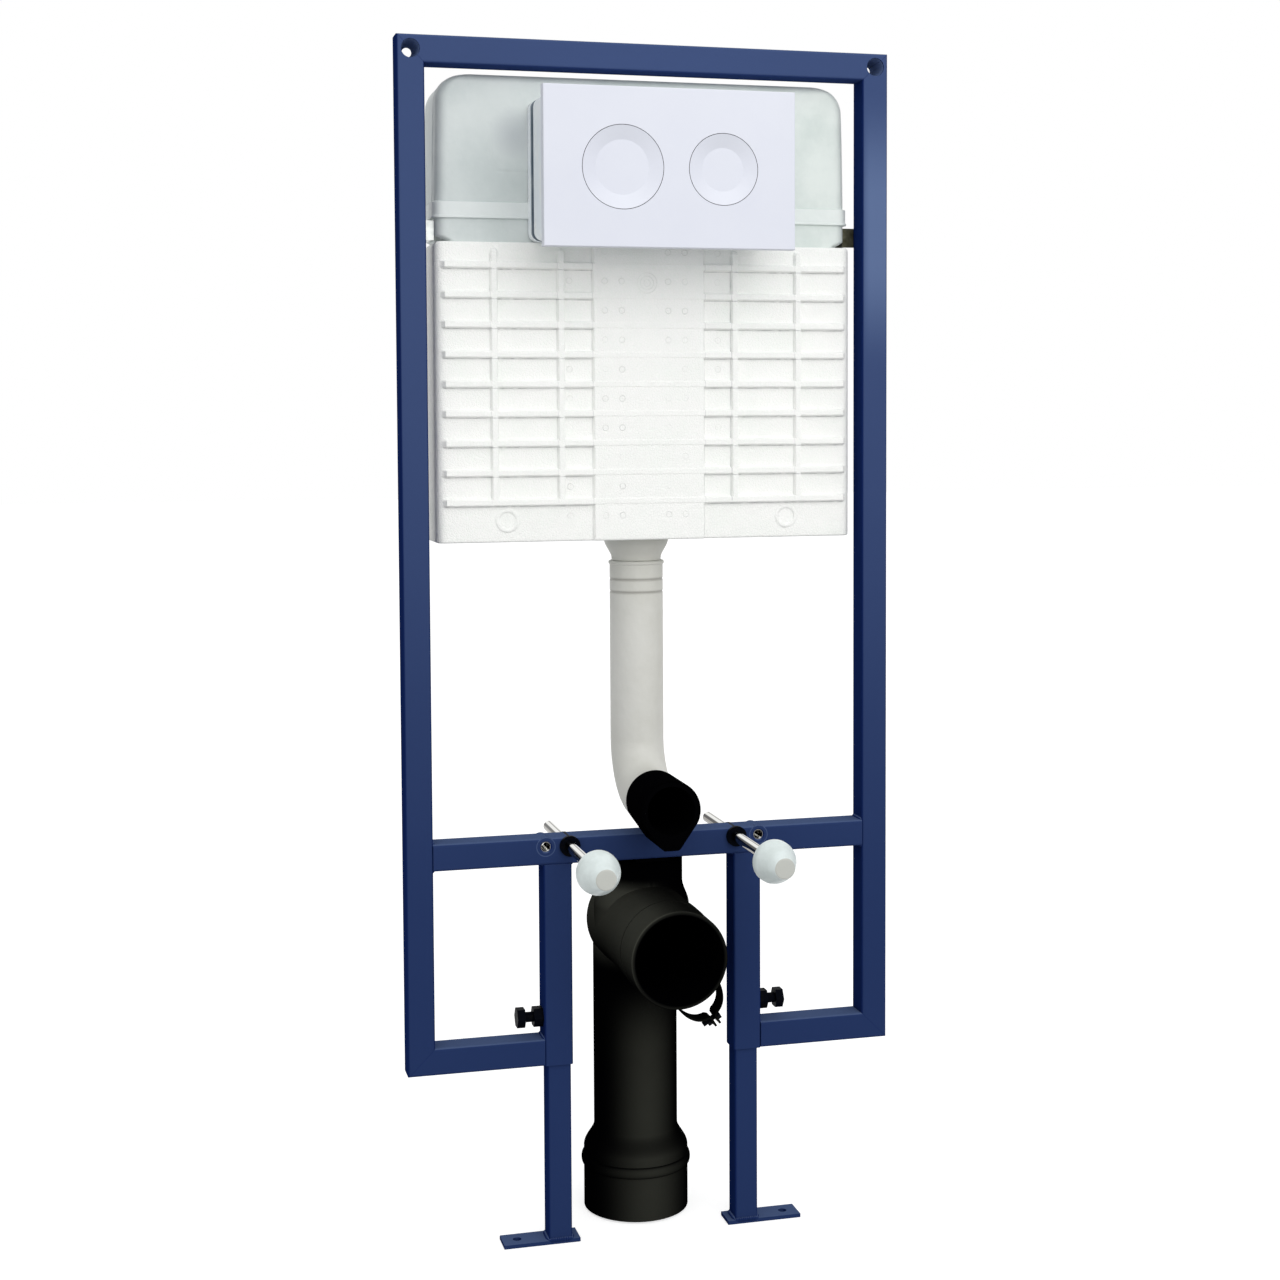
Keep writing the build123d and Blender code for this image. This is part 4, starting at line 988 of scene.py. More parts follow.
@dataclass
class FoamCover:
    """The ribbed foam that wraps the lower body of the tank.

    Its outer wall is carried along a path that runs forward on the left side, across the front and back on
    the right. On the front it stands proud by the ribs, stiles and middle band.
    """

    rise: float = 0.005
    band_drop: float = 0.0005
    rib_width: float = 0.0065
    rib_count: int = 9
    rib_top: float = -0.2125
    rib_pitch: float = 0.0302
    rib_end: float = 0.0025
    end_slope: float = 0.006
    foot: float = 0.0012
    shoulder: float = 0.0008
    stiles: Tuple[float, ...] = (0.093, 0.1625)
    stile_top: float = -0.199
    band_half: float = 0.059
    pad_x: float = 0.15
    pad_height: float = -0.4725
    pad_radius: float = 0.0125
    dish_radius: float = 0.009
    pad_rise: float = 0.0012
    side_wall: float = 0.0112
    front_wall: float = 0.0077
    corner: float = 0.0095
    edge: float = 0.0022
    top_rounding: float = 0.005
    rounding_reach: float = 0.012
    line: float = 0.0007
    under_lift: float = 0.0002
    beside_lift: float = 0.0004
    # How strongly shade is painted under the ribs, beside the band and stiles, and at the rib ends.
    under_soil: float = 0.7
    band_soil: float = 0.3
    stile_soil: Tuple[float, ...] = (0.25, 0.25, 0.55, 0.25)
    end_soil: Tuple[Tuple[float, float, float, float], ...] = ((-1.0, 0.35, 0.6, 0.85), (1.0, 0.3, 0.3, 0.4))
    stile_run: Span = (0.002, 0.004)
    ripple: float = 0.00018
    dish_depth: float = 1.2

    def build(self, shop: Workshop) -> None:
        """Makes the cover and hides the plain one."""
        low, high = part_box("insulation_cover")
        self.half = high[0]
        self.bottom, self.top = low[2], high[2]
        self.front, self.rear = low[1] + self.rise, high[1]
        heights = self._heights()
        x, y, normal = self._path(self._across())
        wide, height = np.meshgrid(x, heights)
        front_only = (normal[:, 0] == 0.0)[None]
        proud = self._relief(wide, height) * front_only - self._edge_drop(heights)[:, None]
        outer = self._round_top(stacked(wide, y, height) + proud[..., None] * normal)
        skin = Skin()
        skin.grid(outer, marks=self._soil(wide, height) * front_only)
        inner_half = self.half - self.side_wall
        inner_x = np.clip(x * inner_half / self.half, -inner_half, inner_half)
        inner_y = np.maximum(y, self.front + self.front_wall)
        inner = self._round_top(stacked(inner_x, inner_y, heights[[0, -1], None]))
        skin.grid(inner)
        for end in (0, -1):
            skin.grid(np.stack([outer[end], inner[end]]))
        for side in (0, -1):
            back = np.linspace(0.0, 1.0, len(heights))[:, None]
            wall = inner[0, side] * (1 - back) + inner[1, side] * back
            wall[:, 2] = outer[:, side, 2]
            wall[-1, 2] = inner[1, side, 2]
            skin.grid(np.stack([outer[:, side], wall]))
        cover = skin.piece("ribbed_foam_cover", shop.material(Finish.foam_cover), "frame", 50.0)
        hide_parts("insulation_cover")

    def _round_top(self, points: np.ndarray) -> np.ndarray:
        """Draws the top corners down along a quarter circle, which fades out below them."""
        beyond = np.clip(np.abs(points[..., 0]) - self.half + self.top_rounding, 0.0, self.top_rounding)
        drop = self.top_rounding - np.sqrt(self.top_rounding ** 2 - beyond ** 2)
        share = np.clip((points[..., 2] - self.top + self.rounding_reach) / self.rounding_reach, 0.0, 1.0)
        lowered = points.copy()
        lowered[..., 2] -= drop * share
        return lowered

    def _soil(self, x: np.ndarray, z: np.ndarray) -> np.ndarray:
        """Returns where shade is painted on the front.

        A ragged line of painted shade lies under each rib and beside each stile and the band's edges, and a rib's
        left end is painted dark all over.
        """
        reach = self.rib_width / 2 + self.foot
        ragged = 0.62 + 0.38 * np.sin(x * 517.0 + z * 263.0) * np.sin(x * 211.0 - z * 97.0 + 1.3)
        between = (np.abs(x) > self.band_half) & (np.abs(x) < self.half - self.rib_end)
        layers = []
        levels = self._levels()
        for level in levels:
            layers.append(ridge(level - reach + self.under_lift - z, self.line) * between * ragged * self.under_soil)
            rib = soft_step(1.0 - (np.abs(z - level) - self.rib_width / 3) / self.foot)
            for side, middle, width, strength in self.end_soil:
                end = x - side * (self.half - self.rib_end - self.end_slope * middle)
                layers.append(ridge(end, self.end_slope * width) * rib * strength)
        below, above = self.stile_run
        along = soft_step((z - levels[-1] + below) / below) * soft_step((self.stile_top - z) / above)
        near, far = self.stiles
        for middle, strength in zip((-far, -near, near, far), self.stile_soil):
            layers.append(ridge(x - middle + reach - self.beside_lift, self.line) * along * ragged * strength)
        for side in (-1.0, 1.0):
            layers.append(ridge(x - side * (self.band_half + self.foot), self.line) * ragged * self.band_soil)
        return np.maximum.reduce(layers)

    def _levels(self) -> List[float]:
        """Returns the height of each rib's middle line, from the top down."""
        return [self.rib_top - self.rib_pitch * n for n in range(self.rib_count)]

    def _across(self) -> np.ndarray:
        """Returns the places across the front, close together where the relief turns."""
        near = 2 * self.foot + self.rib_width / 2
        runs = [(-self.half + self.corner, self.half - self.corner, 40)]
        for side in (-1.0, 1.0):
            runs += [(side * x - near, side * x + near, 23) for x in self.stiles]
            runs.append((side * self.band_half - 2 * self.foot, side * self.band_half + 2 * self.foot, 11))
            end = side * (self.half - self.corner)
            runs.append((min(end, end - side * self.end_slope * 1.5), max(end, end - side * self.end_slope * 1.5), 9))
            reach = self.pad_radius + self.foot
            runs.append((side * self.pad_x - reach, side * self.pad_x + reach, 33))
        return stations(*runs)

    def _heights(self) -> np.ndarray:
        """Returns the heights of the rows, close together at the ribs, pads and edges."""
        near = 2 * self.foot + self.rib_width / 2
        runs = [(z - near, z + near, 25) for z in self._levels()]
        runs += [(self.bottom, self.bottom + self.edge, 6), (self.top - self.edge, self.top, 6)]
        runs.append((self.stile_top - self.rib_width, self.stile_top + self.rib_width, 15))
        reach = self.pad_radius + self.foot
        runs.append((self.pad_height - reach, self.pad_height + reach, 33))
        return stations(*runs, (self.bottom, self.top, 30))

    def _path(self, across: np.ndarray) -> Tuple[np.ndarray, np.ndarray, np.ndarray]:
        """Returns x, y and outward normal along the wall's path, with both corners as quarter circles."""
        turn = np.linspace(0.0, np.pi / 2, 7)[1:-1]
        side_y = np.linspace(self.rear, self.front + self.corner, 8)
        corner_x = -self.half + self.corner - self.corner * np.cos(turn)
        corner_y = self.front + self.corner - self.corner * np.sin(turn)
        left_x = np.concatenate([np.full_like(side_y, -self.half), corner_x])
        left_y = np.concatenate([side_y, corner_y])
        left_n = np.concatenate([np.tile((-1.0, 0.0, 0.0), (len(side_y), 1)),
                                 stacked(-np.cos(turn), -np.sin(turn), 0 * turn)])
        x = np.concatenate([left_x, across, -left_x[::-1]])
        y = np.concatenate([left_y, np.full_like(across, self.front), left_y[::-1]])
        middle_n = np.tile((0.0, -1.0, 0.0), (len(across), 1))
        normal = np.concatenate([left_n, middle_n, left_n[::-1] * (-1.0, 1.0, 1.0)])
        return x, y, normal

    def _edge_drop(self, heights: np.ndarray) -> np.ndarray:
        """Returns how far the wall draws in at its top and bottom edge: a quarter circle each."""
        near = np.minimum(heights - self.bottom, self.top - heights)
        short = np.clip(1.0 - near / self.edge, 0.0, 1.0)
        return self.edge * arc_drop(short)

    def _bar(self, distance: np.ndarray) -> np.ndarray:
        """Returns the height of a bar at a distance from its middle line, with a soft foot and shoulder."""
        return soft_step((self.rib_width / 2 + self.foot - distance) / (self.foot + self.shoulder))

    def _relief(self, x: np.ndarray, z: np.ndarray) -> np.ndarray:
        """Returns how far the front stands proud.

        A rib is a bar about a level line with sloped ends, a stile a bar about an upright line with round
        ends, and the band a wide bar that is half a millimetre lower. The highest one holds.
        """
        ragged = self.ripple * np.sin(x * 410.0 + z * 90.0) * np.sin(x * 1730.0 + 40.0 * z)
        rise = np.zeros_like(x)
        slope = np.clip((self.half - self.rib_end - np.abs(x)) / self.end_slope, 0.0, 1.0)
        levels = self._levels()
        for level in levels:
            rise = np.maximum(rise, self._bar(np.abs(z - level) + ragged) * slope)
        beyond = np.maximum(np.maximum(z - self.stile_top, levels[-1] - z), 0.0)
        for middle in self.stiles:
            rise = np.maximum(rise, self._bar(np.hypot(np.abs(x) - middle, beyond)))
        rise = rise * self.rise
        inside = self.rib_width / 2 + np.abs(x) - self.band_half
        rise = np.maximum(rise, self._bar(np.maximum(inside, 0.0)) * (self.rise - self.band_drop))
        from_pad = np.hypot(np.abs(x) - self.pad_x, z - self.pad_height)
        pad = soft_step((self.pad_radius - from_pad) / self.shoulder)
        dish = soft_step((self.dish_radius - from_pad) / self.shoulder)
        return rise + self.pad_rise * (pad - self.dish_depth * dish)


@dataclass
class CisternTank:
    """The blow moulded tank, a rounded box with a belt, drawn in to a narrower body under it.

    Each level is a rounded rectangle whose width, depth and roundness follow its height.
    """

    belt_rise: float = 0.0022
    lip_rise: float = 0.0008
    lip_height: float = 0.0025
    belt_top: float = -0.148
    belt_bottom: float = -0.165
    shelf: float = -0.1885
    waist: float = 0.009
    shoulder_radius: float = 0.028
    top_edge: float = 0.009
    front_round: float = 0.011
    lean: float = 0.003
    bulge: float = 0.0012
    crease_x: float = -0.1635
    crease: Span = (-0.106, -0.067)
    ledge: Span = (-0.159, -0.12)
    ledge_height: float = -0.117
    mark_width: float = 0.0012
    mark_depth: float = 0.0007
    parting_y: float = 0.01
    parting_rise: float = 0.0008
    belt_edge: float = 0.0008
    # The painted highlight on the belt: its strength and the softness of its edge.
    belt_soil: float = 0.4
    soil_edge: float = 0.001
    shelf_reach: float = 0.007
    side_share: float = 0.3
    mark_end: float = 0.004

    def build(self, shop: Workshop) -> None:
        """Makes the tank's skin and hides the plain one."""
        low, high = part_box("cistern_tank")
        self.half = high[0] - self.belt_rise - self.lip_rise
        self.bottom, self.top = low[2], high[2]
        self.front, self.rear = low[1] + self.belt_rise + self.lip_rise, high[1]
        heights = stations(
            (self.bottom, self.bottom + self.front_round, 8),
            (self.bottom, self.shelf, 12), (self.shelf - 0.001, self.shelf + 0.008, 12),
            (self.belt_bottom - 0.002, self.belt_bottom + 0.003, 14), (self.belt_bottom, self.belt_top, 10),
            (self.belt_bottom + self.lip_height - 0.001, self.belt_bottom + self.lip_height + 0.001, 7),
            (self.belt_top - 0.003, self.belt_top + 0.002, 14), (self.belt_top, self.top - self.shoulder_radius, 90),
            (self.top - self.shoulder_radius, self.top, 26), (self.top - self.top_edge / 3, self.top, 10),
        )
        skin = Skin()
        rows = self._level(heights)
        # The belt's rows carry the mark for a painted highlight.
        belt = soft_step((heights - self.belt_bottom) / self.soil_edge)
        belt *= soft_step((self.belt_top - heights) / self.soil_edge) * self.belt_soil
        skin.grid(rows, around=True, marks=np.repeat(belt, rows.shape[1]))
        for row in (rows[0], rows[-1]):
            middle = row * (1.0, 0.0, 1.0) + (0.0, (self.front + self.rear) / 2, 0.0)
            share = np.linspace(0.0, 1.0, 6)[:, None, None]
            skin.grid(row[None] * (1 - share) + middle[None] * share, around=True)
        tank = skin.piece("blow_moulded_tank", shop.material(Finish.tank_plastic), "frame", 60.0)
        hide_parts("cistern_tank")

    def _level(self, heights: np.ndarray) -> np.ndarray:
        """Returns the outline at each height.

        The half width follows a quarter circle at the shoulders and leans in a little above the belt, the
        depth follows a smaller quarter circle, and the belt adds the same to both. Going round, a point
        lies on a square pushed out by its roundness, a superellipse with a power of the angle's sine and
        cosine.

        Args:
            heights: The height of each row.

        Returns:
            Rows by columns by three coordinates.
        """
        into = np.clip((heights - self.top + self.shoulder_radius) / self.shoulder_radius, 0.0, 1.0)
        width = self.half - self.shoulder_radius * arc_drop(into)
        up = np.clip((heights - self.belt_top) / (self.top - self.belt_top), 0.0, 1.0)
        width -= self.lean * up
        near_top = np.clip((heights - self.top + self.top_edge) / self.top_edge, 0.0, 1.0)
        near_base = np.clip((self.bottom + self.front_round - heights) / self.front_round, 0.0, 1.0)
        drawn = self.top_edge * arc_drop(near_top) + self.front_round * arc_drop(near_base)
        swell = self.bulge * np.sin(up * np.pi)
        soft = self.belt_edge
        belt = soft_step((heights - self.belt_bottom + soft / 2) / soft)
        belt *= soft_step((self.belt_top - heights + soft) / (2 * soft))
        lip = belt * soft_step((self.belt_bottom + self.lip_height - heights + soft / 2) / soft)
        rise = self.belt_rise * belt + self.lip_rise * lip
        width += rise
        width -= self.waist * (1.0 - soft_step((heights - self.shelf) / self.shelf_reach)) + self.side_share * drawn
        return self._outline(width, self.front - swell + drawn - rise, self.rear - drawn, heights)

    def _outline(self, width: np.ndarray, front: np.ndarray, rear: np.ndarray, heights: np.ndarray) -> np.ndarray:
        """Returns rounded rectangles: straight sides joined by quarter circles, one for each row."""
        radius = np.full_like(width, self.front_round)[:, None]
        turn = np.linspace(0.0, np.pi / 2, 9)
        columns_x, columns_y = [], []
        for sign_x, sign_y, start in ((1, -1, 1), (1, 1, 0), (-1, 1, 1), (-1, -1, 0)):
            arc = turn[::-1] if start else turn
            edge_y = (front if sign_y < 0 else rear)[:, None]
            columns_x.append(sign_x * (width[:, None] - radius + radius * np.cos(arc)))
            columns_y.append(edge_y - sign_y * radius + sign_y * radius * np.sin(arc))
            if (sign_x, sign_y) in ((1, -1), (-1, 1)):
                straight = np.linspace(0.0, 1.0, 60)[None, 1:-1]
                along = self._between(edge_y - sign_y * radius, front[:, None], rear[:, None], sign_y, straight)
                columns_x.append(sign_x * (width[:, None] + self._parting(along)))
                columns_y.append(along)
            else:
                straight = np.linspace(0.0, 1.0, 260 if sign_y < 0 else 8)[None, 1:-1]
                run = sign_x * (width[:, None] - radius) * (1 - 2 * straight)
                columns_x.append(run)
                columns_y.append(edge_y + (self._marks(run, heights[:, None]) if sign_y < 0 else 0.0 * run))
        x = np.concatenate(columns_x, axis=1)
        y = np.concatenate(columns_y, axis=1)
        return stacked(x, y, heights[:, None])

    def _parting(self, along: np.ndarray) -> np.ndarray:
        """Returns the parting line's ridge on the sides, by the depth along them."""
        return self.parting_rise * ridge(along - self.parting_y, self.mark_width)

    def _marks(self, x: np.ndarray, z: np.ndarray) -> np.ndarray:
        """Returns how deep the front is drawn in: an upright crease at the left and a level one below it."""
        marks = []
        for off, along, (start, end) in ((x - self.crease_x, z, self.crease), (z - self.ledge_height, x, self.ledge)):
            ends = soft_step((along - start) / self.mark_end) * soft_step((end - along) / self.mark_end)
            marks.append(ridge(off, self.mark_width) * ends)
        return self.mark_depth * np.maximum(*marks)

    def _between(self, start: np.ndarray, front: np.ndarray, rear: np.ndarray, sign: int,
                 share: np.ndarray) -> np.ndarray:
        """Returns the depths along a straight side, from one rounded corner to the next."""
        end = (rear - self.front_round) if sign < 0 else (front + self.front_round)
        return start * (1 - share) + end * share


@dataclass
class FlushLine:
    """The tank outlet, the flush pipe with its collar and bend, and the rubber sleeve on its end."""

    pipe_radius: float = 0.0285
    wall: float = 0.003
    axis_y: float = 0.038
    collar_top: float = -0.52
    outlet_height: float = -0.7655
    bend_radius: float = 0.056
    pipe_end: float = -0.085
    lip: float = 0.0012
    lip_height: float = 0.004
    groove_depth: float = 0.0007
    grooves: Tuple[float, ...] = (-0.5395, -0.553)
    flare_top: float = -0.488
    flare_straight: float = -0.5005
    flare_radius: float = 0.0345
    throat: float = 0.0252
    rim_bulge: float = 0.0016
    # A black sheet of this thickness inside the lower pipe stands in for the shade there.
    lining: float = 0.0006
    lining_gap: float = 0.0002
    lining_rise: float = 0.03
    sleeve_wall: float = 0.0022
    sleeve_gap: float = 0.0001
    nose: float = 0.01
    nose_half: float = 0.0085
    mouth_radius: float = 0.025
    spigot: float = 0.045
    neck_room: float = 0.0008
    lip_edge: float = 0.001
    groove_half: float = 0.0016
    # Painted shade in the grooves.
    soil_half: float = 0.0028
    groove_soil: float = 0.75
    rim_place: float = 0.052
    rim_half: float = 0.004
    sleeve_edge: float = 0.0018
    edge_share: float = 0.8
    sleeve_sides: int = 128
    tangent_level: float = 0.42
    flat_from: float = 0.9

    def build(self, shop: Workshop) -> None:
        """Makes the three pieces."""
        self._outlet(shop)
        self._pipe(shop)
        self._sleeve(shop)

    def _outlet(self, shop: Workshop) -> None:
        """Makes the outlet: a short drum that tapers in to the pipe and a spigot inside it."""
        neck = self.pipe_radius - self.wall + self.neck_room
        bore = self.throat - self.wall
        foot = self.collar_top - self.spigot
        profile = rounded_profile([
            (bore, foot, 0.0), (bore, self.flare_top, 0.0),
            (self.flare_radius, self.flare_top, 0.0012), (self.flare_radius, self.flare_straight, 0.005),
            (neck, self.collar_top + 0.005, 0.004), (neck, self.collar_top + 0.0006, 0.0006),
            (self.throat, self.collar_top, 0.0), (self.throat, foot, 0.0012), (bore, foot, 0.0),
        ])
        skin = Skin()
        skin.turned(profile, (0.0, self.axis_y, 0.0), (0.0, 0.0, 1.0))
        outlet = skin.piece("flared_tank_outlet", shop.material(Finish.pipe_plastic), "frame")
        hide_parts("tank_outlet")

    def _pipe(self, shop: Workshop) -> None:
        """Makes the pipe along its path, straight down, round a quarter circle and forward."""
        straight = stations((self.outlet_height + self.bend_radius, self.collar_top, 40),
                            (self.collar_top - 0.04, self.collar_top, 60))[::-1]
        drop = stacked(0.0, self.axis_y, straight)
        turn = np.linspace(0.0, np.pi / 2, 40)[1:-1, None]
        centre = np.array((0.0, self.axis_y - self.bend_radius, self.outlet_height + self.bend_radius))
        bend = centre + self.bend_radius * (np.cos(turn) * (0.0, 1.0, 0.0) - np.sin(turn) * (0.0, 0.0, 1.0))
        ahead = np.linspace(self.axis_y - self.bend_radius, self.pipe_end, 30)
        run = stacked(0.0, ahead, self.outlet_height)
        path = np.concatenate([drop, bend, run])
        radius = np.full(len(path), self.pipe_radius)
        height = path[:, 2]
        radius += self.lip * soft_step((height - self.collar_top + self.lip_height) / self.lip_edge)
        # The grooves carry the mark for painted shade.
        soil = np.zeros(len(path))
        for groove in self.grooves:
            radius -= self.groove_depth * ridge(height - groove, self.groove_half)
            soil += self.groove_soil * ridge(height - groove, self.soil_half)
        radius -= self.lip_edge * soft_step(1.0 - (self.collar_top - height) / self.lip_edge)
        radius += self.rim_bulge * ridge(path[:, 1] - self.pipe_end - self.rim_place, self.rim_half)
        skin = Skin()
        skin.swept(path, radius, soil=soil)
        skin.swept(path, np.full(len(path), self.pipe_radius - self.wall))
        for end, outer in ((0, radius[0]), (-1, radius[-1])):
            self._end_ring(skin, path, end, self.pipe_radius - self.wall, outer)
        pipe = skin.piece("flush_pipe_with_collar", shop.material(Finish.pipe_plastic), "frame")
        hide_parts("flush_pipe")
        # Painted shade: a black sheet inside the lower pipe and its bend, so that the pipe's mouth shows dark.
        lined = path[height < self.outlet_height + self.bend_radius + self.lining_rise]
        lining = Skin()
        for inset in (self.lining_gap, self.lining_gap + self.lining):
            lining.swept(lined, np.full(len(lined), self.pipe_radius - self.wall - inset))
        for end in (0, -1):
            outer = self.pipe_radius - self.wall - self.lining_gap
            self._end_ring(lining, lined, end, outer - self.lining, outer)
        lining.piece("pipe_shadow_sheet", shop.material(Finish.black_rubber), "frame")

    def _end_ring(self, skin: Skin, path: np.ndarray, end: int, inner: float, outer: float) -> None:
        """Closes a tube's wall at one end of its path with a flat ring."""
        heading = path[end] - path[1 if end == 0 else -2]
        angle = full_turn(64)[:, None]
        level = np.array((1.0, 0.0, 0.0))
        above = np.cross(level, -heading if end == 0 else heading)
        above /= np.linalg.norm(above)
        across = np.cos(angle) * level + np.sin(angle) * above
        skin.grid(path[end] + np.array((inner, outer))[:, None, None] * across, around=True)

    def _sleeve(self, shop: Workshop) -> None:
        """Makes the sleeve: its outline is the hull of a circle and a short flat nose below it.

        Going round, the radius is the farthest of the circle and the nose's two corners as seen along each
        direction's supporting line, smoothed at the edges along the depth.
        """
        low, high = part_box("flush_sleeve")
        rear, front = high[1], low[1]
        radius = self.pipe_radius + self.sleeve_gap + self.sleeve_wall
        angle = full_turn(self.sleeve_sides)
        outline = self._hull(angle, radius)
        near = self.sleeve_edge * (1 - np.sin(np.linspace(0.0, np.pi / 2, 6)))
        depth = np.concatenate([rear - near, front + near[::-1]])
        short = np.concatenate([near, near[::-1]]) * self.edge_share
        length = np.linalg.norm(outline, axis=1, keepdims=True)
        rows = outline[None] * (1 - short[:, None, None] / length[None])
        points = stacked(rows[..., 0], depth[:, None], rows[..., 1] + self.outlet_height)
        skin = Skin()
        skin.grid(points, around=True)
        bore = self.pipe_radius + self.sleeve_gap
        inner = [(bore, rear), (bore, self.pipe_end), (self.mouth_radius, self.pipe_end), (self.mouth_radius, front)]
        rings = np.stack([stacked(r * np.cos(angle), y, r * np.sin(angle) + self.outlet_height) for r, y in inner])
        skin.grid(rings, around=True)
        for end in (0, -1):
            skin.grid(np.stack([points[end], rings[end]]), around=True)
        sleeve = skin.piece("rubber_sleeve", shop.material(Finish.black_rubber), "frame")
        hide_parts("flush_sleeve")

    def _hull(self, angle: np.ndarray, radius: float) -> np.ndarray:
        """Returns the sleeve's outline: a circle whose lower part is drawn down to a blunt nose.

        A point of the circle moves down by a share of the nose that rises smoothly from the level of the
        tangents to the bottom, and sideways towards a straight line to the nose's corner.
        """
        x, z = radius * np.cos(angle), radius * np.sin(angle)
        tangent = -radius * self.tangent_level
        share = np.clip((tangent - z) / (radius + tangent), 0.0, 1.0)
        edge_x = math.sqrt(radius ** 2 - tangent ** 2)
        straight_x = edge_x + (self.nose_half - edge_x) * share
        straight_z = tangent + (-radius - self.nose - tangent) * share
        below = share > 0.0
        flat = (np.abs(x) < self.nose_half) & (share > self.flat_from)
        new_z = np.where(below, np.where(flat, -radius - self.nose, straight_z), z)
        new_x = np.where(below, np.sign(x) * np.where(flat, np.abs(x), straight_x), x)
        return stacked(new_x, new_z)


@dataclass
class AdaptorBox:
    """The box that reaches from the tank to the plate: a rounded rectangle with a flange and a groove behind it.

    Each ring round it is that outline moved out by the profile's offset at a depth.
    """

    corner: float = 0.009
    wall: float = 0.004
    half: float = 0.123
    rise: float = 0.0015
    groove: float = 0.0016
    flange_front: float = -0.028
    groove_front: float = -0.033
    rounding: float = 0.0006

    def build(self, shop: Workshop) -> None:
        """Makes the box and hides the plain one."""
        low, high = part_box("plate_adaptor")
        rear, front = high[1], low[1]
        soft = self.rounding
        profile = [
            (-self.wall, rear, 0.0), (self.rise - soft, rear, 0.0), (self.rise, rear - soft, 1.0),
            (self.rise, rear - 2 * soft, 1.0), (self.rise, rear - 3 * soft, 0.0),
            (self.rise, self.flange_front + 3 * soft, 0.0), (self.rise, self.flange_front + 2 * soft, 0.7),
            (self.rise - soft, self.flange_front, 1.0), (-self.groove, self.flange_front, 1.0),
            (-self.groove, self.groove_front, 1.0), (0.0, self.groove_front, 1.0),
            (0.0, self.groove_front - 2 * soft, 0.2), (0.0, self.groove_front - 4 * soft, 0.0),
            (0.0, front, 0.0), (-self.wall, front, 0.0), (-self.wall, rear, 0.0),
        ]
        turn = np.linspace(0.0, np.pi / 2, 9)
        angle = np.concatenate([turn + quarter * np.pi / 2 for quarter in range(4)])
        across, above = np.cos(angle), np.sin(angle)
        middle = (low[2] + high[2]) / 2
        centre_x = np.repeat((1.0, -1.0, -1.0, 1.0), 9) * (self.half - self.corner)
        centre_z = middle + np.repeat((1.0, 1.0, -1.0, -1.0), 9) * ((high[2] - low[2]) / 2 - self.corner)
        rings, marks = [], []
        # The third value of each profile row is how much painted shade its ring carries.
        for offset, depth, soiled in profile:
            upward = self.corner + min(offset, 0.0)
            rings.append(stacked(centre_x + (self.corner + offset) * across, depth, centre_z + upward * above))
            marks.append(np.full_like(angle, soiled))
        skin = Skin()
        skin.grid(np.stack(rings), around=True, marks=np.stack(marks))
        box = skin.piece("flanged_plate_adaptor", shop.material(Finish.adaptor_plastic), "frame")
        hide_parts("plate_adaptor")


